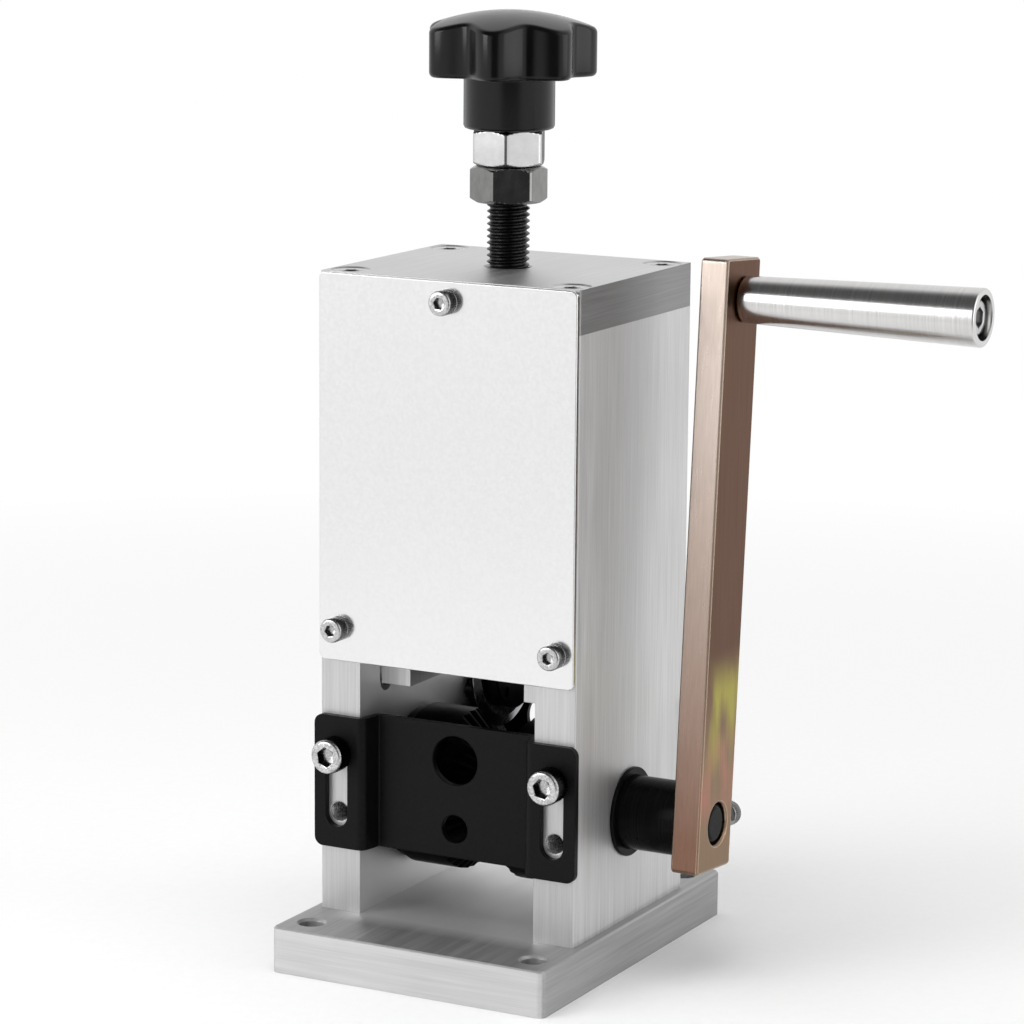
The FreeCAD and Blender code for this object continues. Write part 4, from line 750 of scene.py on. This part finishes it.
def star_knob(hub, low, star_low, top):
    """Circles up the hub, then the outline with its rims set in, then the outline shrunk up the dome.
    At a distance d from the axis the dome is d^2 / (2 R) lower, with R = (out^2 + rise^2) / (2 rise)."""
    spot, away = star_outline(STAR_MIDDLE_MM, STAR_SWING_MM, LOBES)
    far = np.linalg.norm(spot, axis=1, keepdims=True)
    bow = (DOME_OUT_MM ** 2 + DOME_RISE_MM ** 2) / (2.0 * DOME_RISE_MM)
    circles = [(low, BORE_MM), (low, hub - 1.0), (low + 0.3, hub - 0.35), (low + 1.0, hub),
               (star_low - 1.2, hub), (star_low - 0.35, hub + 0.3), (star_low, hub + 1.1)]
    rings = [np.hstack([spot / far * r, np.full_like(far, w)]) for w, r in circles]
    bends = np.radians([0, 18, 36, 54, 72, 90])
    for a in bends:
        height = np.full_like(far, star_low + LOW_RIM_MM * (1.0 - math.cos(a)))
        rings.append(np.hstack([spot - LOW_RIM_MM * (1.0 - math.sin(a)) * away, height]))
    for a, shrink in [(a, 1.0) for a in bends] + [(bends[-1], s) for s in np.linspace(0.96, 0.04, 14)]:
        inset = (spot - TOP_RIM_MM * (1.0 - math.cos(a)) * away) * shrink
        drop = np.sum(inset ** 2, axis=1, keepdims=True) / (2.0 * bow)
        rings.append(np.hstack([inset, top - drop - TOP_RIM_MM * (1.0 - math.sin(a))]))
    return np.array(rings)


knob = star_knob(hub=12.6, low=box_mm("star_knob")[0][Z], star_low=247.5, top=reach_of("star_knob", UP))
make_piece("star_grip_knob", [placed(knob, (0.0, 0.0, 0.0), UP, 28.5)], PHENOLIC, "screw", "star_knob",
           sharp=40.0)

# %% [markdown]
# ## Floor, light and background
# Metal shows the room more than its own colour, so the room matters. The floor is a pale disc that
# keeps the shadow and fades to white far away. The world is white to the camera. In reflections it
# is white, with a dark patch overhead, as in a studio whose soft boxes stand at the sides: that is
# what draws dark and bright bands along a polished bar. Three soft lamps give the plain
# light, sized so that a colour renders about as it is written. One side of the room is kept dark in
# reflections, and so is the floor far behind, as a studio does with black flags. That gives black
# and polished parts clear edges.

# %% Floor and world
FLAG, BEHIND = (0.52, -0.85, 0.0), (-0.47, 0.88, 0.0)
OVERHEAD = (-0.15, -0.4, 0.9)
FLOOR_MM, ALL_WHITE_MM = 6000.0, 700.0
SHED_STRENGTH = 0.5
RIM_POINTS = 64


def flag_share(tree, direction, flag=FLAG, low=0.84, high=0.97):
    """How far a direction lies inside a dark side: its cosine with the flag, from low up to high."""
    level = add(tree, "ShaderNodeVectorMath", {0: direction, 1: (1.0, 1.0, 0.0)}, operation="MULTIPLY")
    unit = add(tree, "ShaderNodeVectorMath", {0: level}, operation="NORMALIZE")
    cosine = add(tree, "ShaderNodeVectorMath", {0: unit, 1: flag}, operation="DOT_PRODUCT")
    return add(tree, "ShaderNodeMapRange", {"Value": cosine, **between(low, high)},
               interpolation_type="SMOOTHSTEP")


def floor_finish():
    """Pale and matt near the object; far off the camera and reflections see plain white or a flag."""
    material, tree = blank_finish("pale_studio_floor")
    where = add(tree, "ShaderNodeTexCoord").outputs["Object"]
    away = add(tree, "ShaderNodeVectorMath", {0: where}, operation="LENGTH")
    grain = add(tree, "ShaderNodeTexNoise", {"Vector": where, "Scale": 300.0, "Detail": 1.0})
    tone = add(tree, "ShaderNodeMix", {"Factor": grain, "A": "#f6f6f6", "B": "#fafafa"}, data_type="RGBA")
    matt = add(tree, "ShaderNodeBsdfPrincipled", {"Base Color": tone, "Roughness": 0.8})
    rays = add(tree, "ShaderNodeLightPath").outputs
    seen = add(tree, "ShaderNodeMath", {0: rays["Is Camera Ray"], 1: rays["Is Glossy Ray"]},
               operation="MAXIMUM")
    far = add(tree, "ShaderNodeMapRange",
              {"Value": away, **between(0.15 * ALL_WHITE_MM * MM, ALL_WHITE_MM * MM)})
    share = add(tree, "ShaderNodeMath", {0: seen, 1: far}, operation="MULTIPLY")
    side, behind = flag_share(tree, where), flag_share(tree, where, BEHIND, 0.92, 0.98)
    flags = add(tree, "ShaderNodeMath", {0: side, 1: behind}, operation="MAXIMUM")
    dark = add(tree, "ShaderNodeMath", {0: flags, 1: rays["Is Glossy Ray"]}, operation="MULTIPLY")
    shade = add(tree, "ShaderNodeMix", {"Factor": dark, "A": "#ffffff", "B": "#585858"}, data_type="RGBA")
    white = add(tree, "ShaderNodeEmission", {"Color": shade, "Strength": 1.0})
    both = add(tree, "ShaderNodeMixShader", {0: share, 1: matt, 2: white})
    add(tree, "ShaderNodeOutputMaterial", {"Surface": both})
    return material


def pale_floor(radius_mm):
    """A fan of triangles round (0, 0): the rim's points are radius * (cos a, sin a)."""
    angle, here = around(RIM_POINTS), np.arange(RIM_POINTS)
    rim = np.column_stack([radius_mm * np.cos(angle), radius_mm * np.sin(angle), np.zeros(RIM_POINTS)])
    fan = np.column_stack([np.full(RIM_POINTS, RIM_POINTS), here, (here + 1) % RIM_POINTS])
    mesh = bpy.data.meshes.new("floor")
    mesh.from_pydata((np.vstack([rim, [[0.0, 0.0, 0.0]]]) * MM).tolist(), [], fan.tolist())
    mesh.materials.append(floor_finish())
    floor = bpy.data.objects.new("floor", mesh)
    scene.collection.objects.link(floor)


def studio_world(shed_strength):
    """White where the camera looks; in reflections white with dark patches; dimmer in the light shed."""
    world = bpy.data.worlds.new("studio")
    world.use_nodes = True
    tree = world.node_tree
    tree.nodes.clear()
    direction = add(tree, "ShaderNodeTexCoord").outputs["Generated"]
    overhead = add(tree, "ShaderNodeVectorMath", {0: direction, 1: OVERHEAD}, operation="DOT_PRODUCT")
    ceiling = add(tree, "ShaderNodeMapRange", {"Value": overhead, **between(0.55, 0.92)},
                  interpolation_type="SMOOTHSTEP")
    room = add(tree, "ShaderNodeMix", {"Factor": ceiling, "A": "#fafafa", "B": "#565656"}, data_type="RGBA")
    room = add(tree, "ShaderNodeMix", {"Factor": flag_share(tree, direction), "A": room, "B": "#585858"},
               data_type="RGBA")
    rays = add(tree, "ShaderNodeLightPath").outputs
    mirror = add(tree, "ShaderNodeMath", {0: rays["Is Glossy Ray"], 1: rays["Is Transmission Ray"]},
                 operation="MAXIMUM")
    shed = add(tree, "ShaderNodeBackground", {"Color": "#ffffff", "Strength": shed_strength})
    seen = add(tree, "ShaderNodeBackground", {"Color": room, "Strength": 1.0})
    white = add(tree, "ShaderNodeBackground", {"Color": "#ffffff", "Strength": 1.0})
    first = add(tree, "ShaderNodeMixShader", {0: mirror, 1: shed, 2: seen})
    second = add(tree, "ShaderNodeMixShader", {0: rays["Is Camera Ray"], 1: first, 2: white})
    add(tree, "ShaderNodeOutputWorld", {"Surface": second})
    scene.world = world


pale_floor(FLOOR_MM)
studio_world(SHED_STRENGTH)
print("floor and world are ready")

# %% Lamps
LAMP_AIM_MM = (0.0, 0.0, 120.0)


def soft_lamp(name, watts, size_mm, at_mm, mirrored=True):
    """A square soft box that faces the machine; it may be left out of reflections."""
    data = bpy.data.lights.new(name, "AREA")
    data.energy, data.size = watts, size_mm * MM
    lamp = bpy.data.objects.new(name, data)
    lamp.visible_glossy = mirrored
    spot, aim = np.array(at_mm, float) * MM, np.array(LAMP_AIM_MM, float) * MM
    back = (spot - aim) / np.linalg.norm(spot - aim)
    right = np.cross(UP, back)
    right = right / np.linalg.norm(right)
    lamp.matrix_world = stand((right, np.cross(back, right), back), spot)
    scene.collection.objects.link(lamp)


soft_lamp("key", 6.0, 700.0, (-750.0, -1000.0, 560.0))
soft_lamp("fill", 3.5, 900.0, (1150.0, 250.0, 420.0))
soft_lamp("top", 7.0, 900.0, (-60.0, -240.0, 1150.0), mirrored=False)

# %% [markdown]
# ## Finish
# The view transform is the plain one, so colours aren't bent by a film look.

# %% Finish
scene.view_settings.view_transform = "Standard"
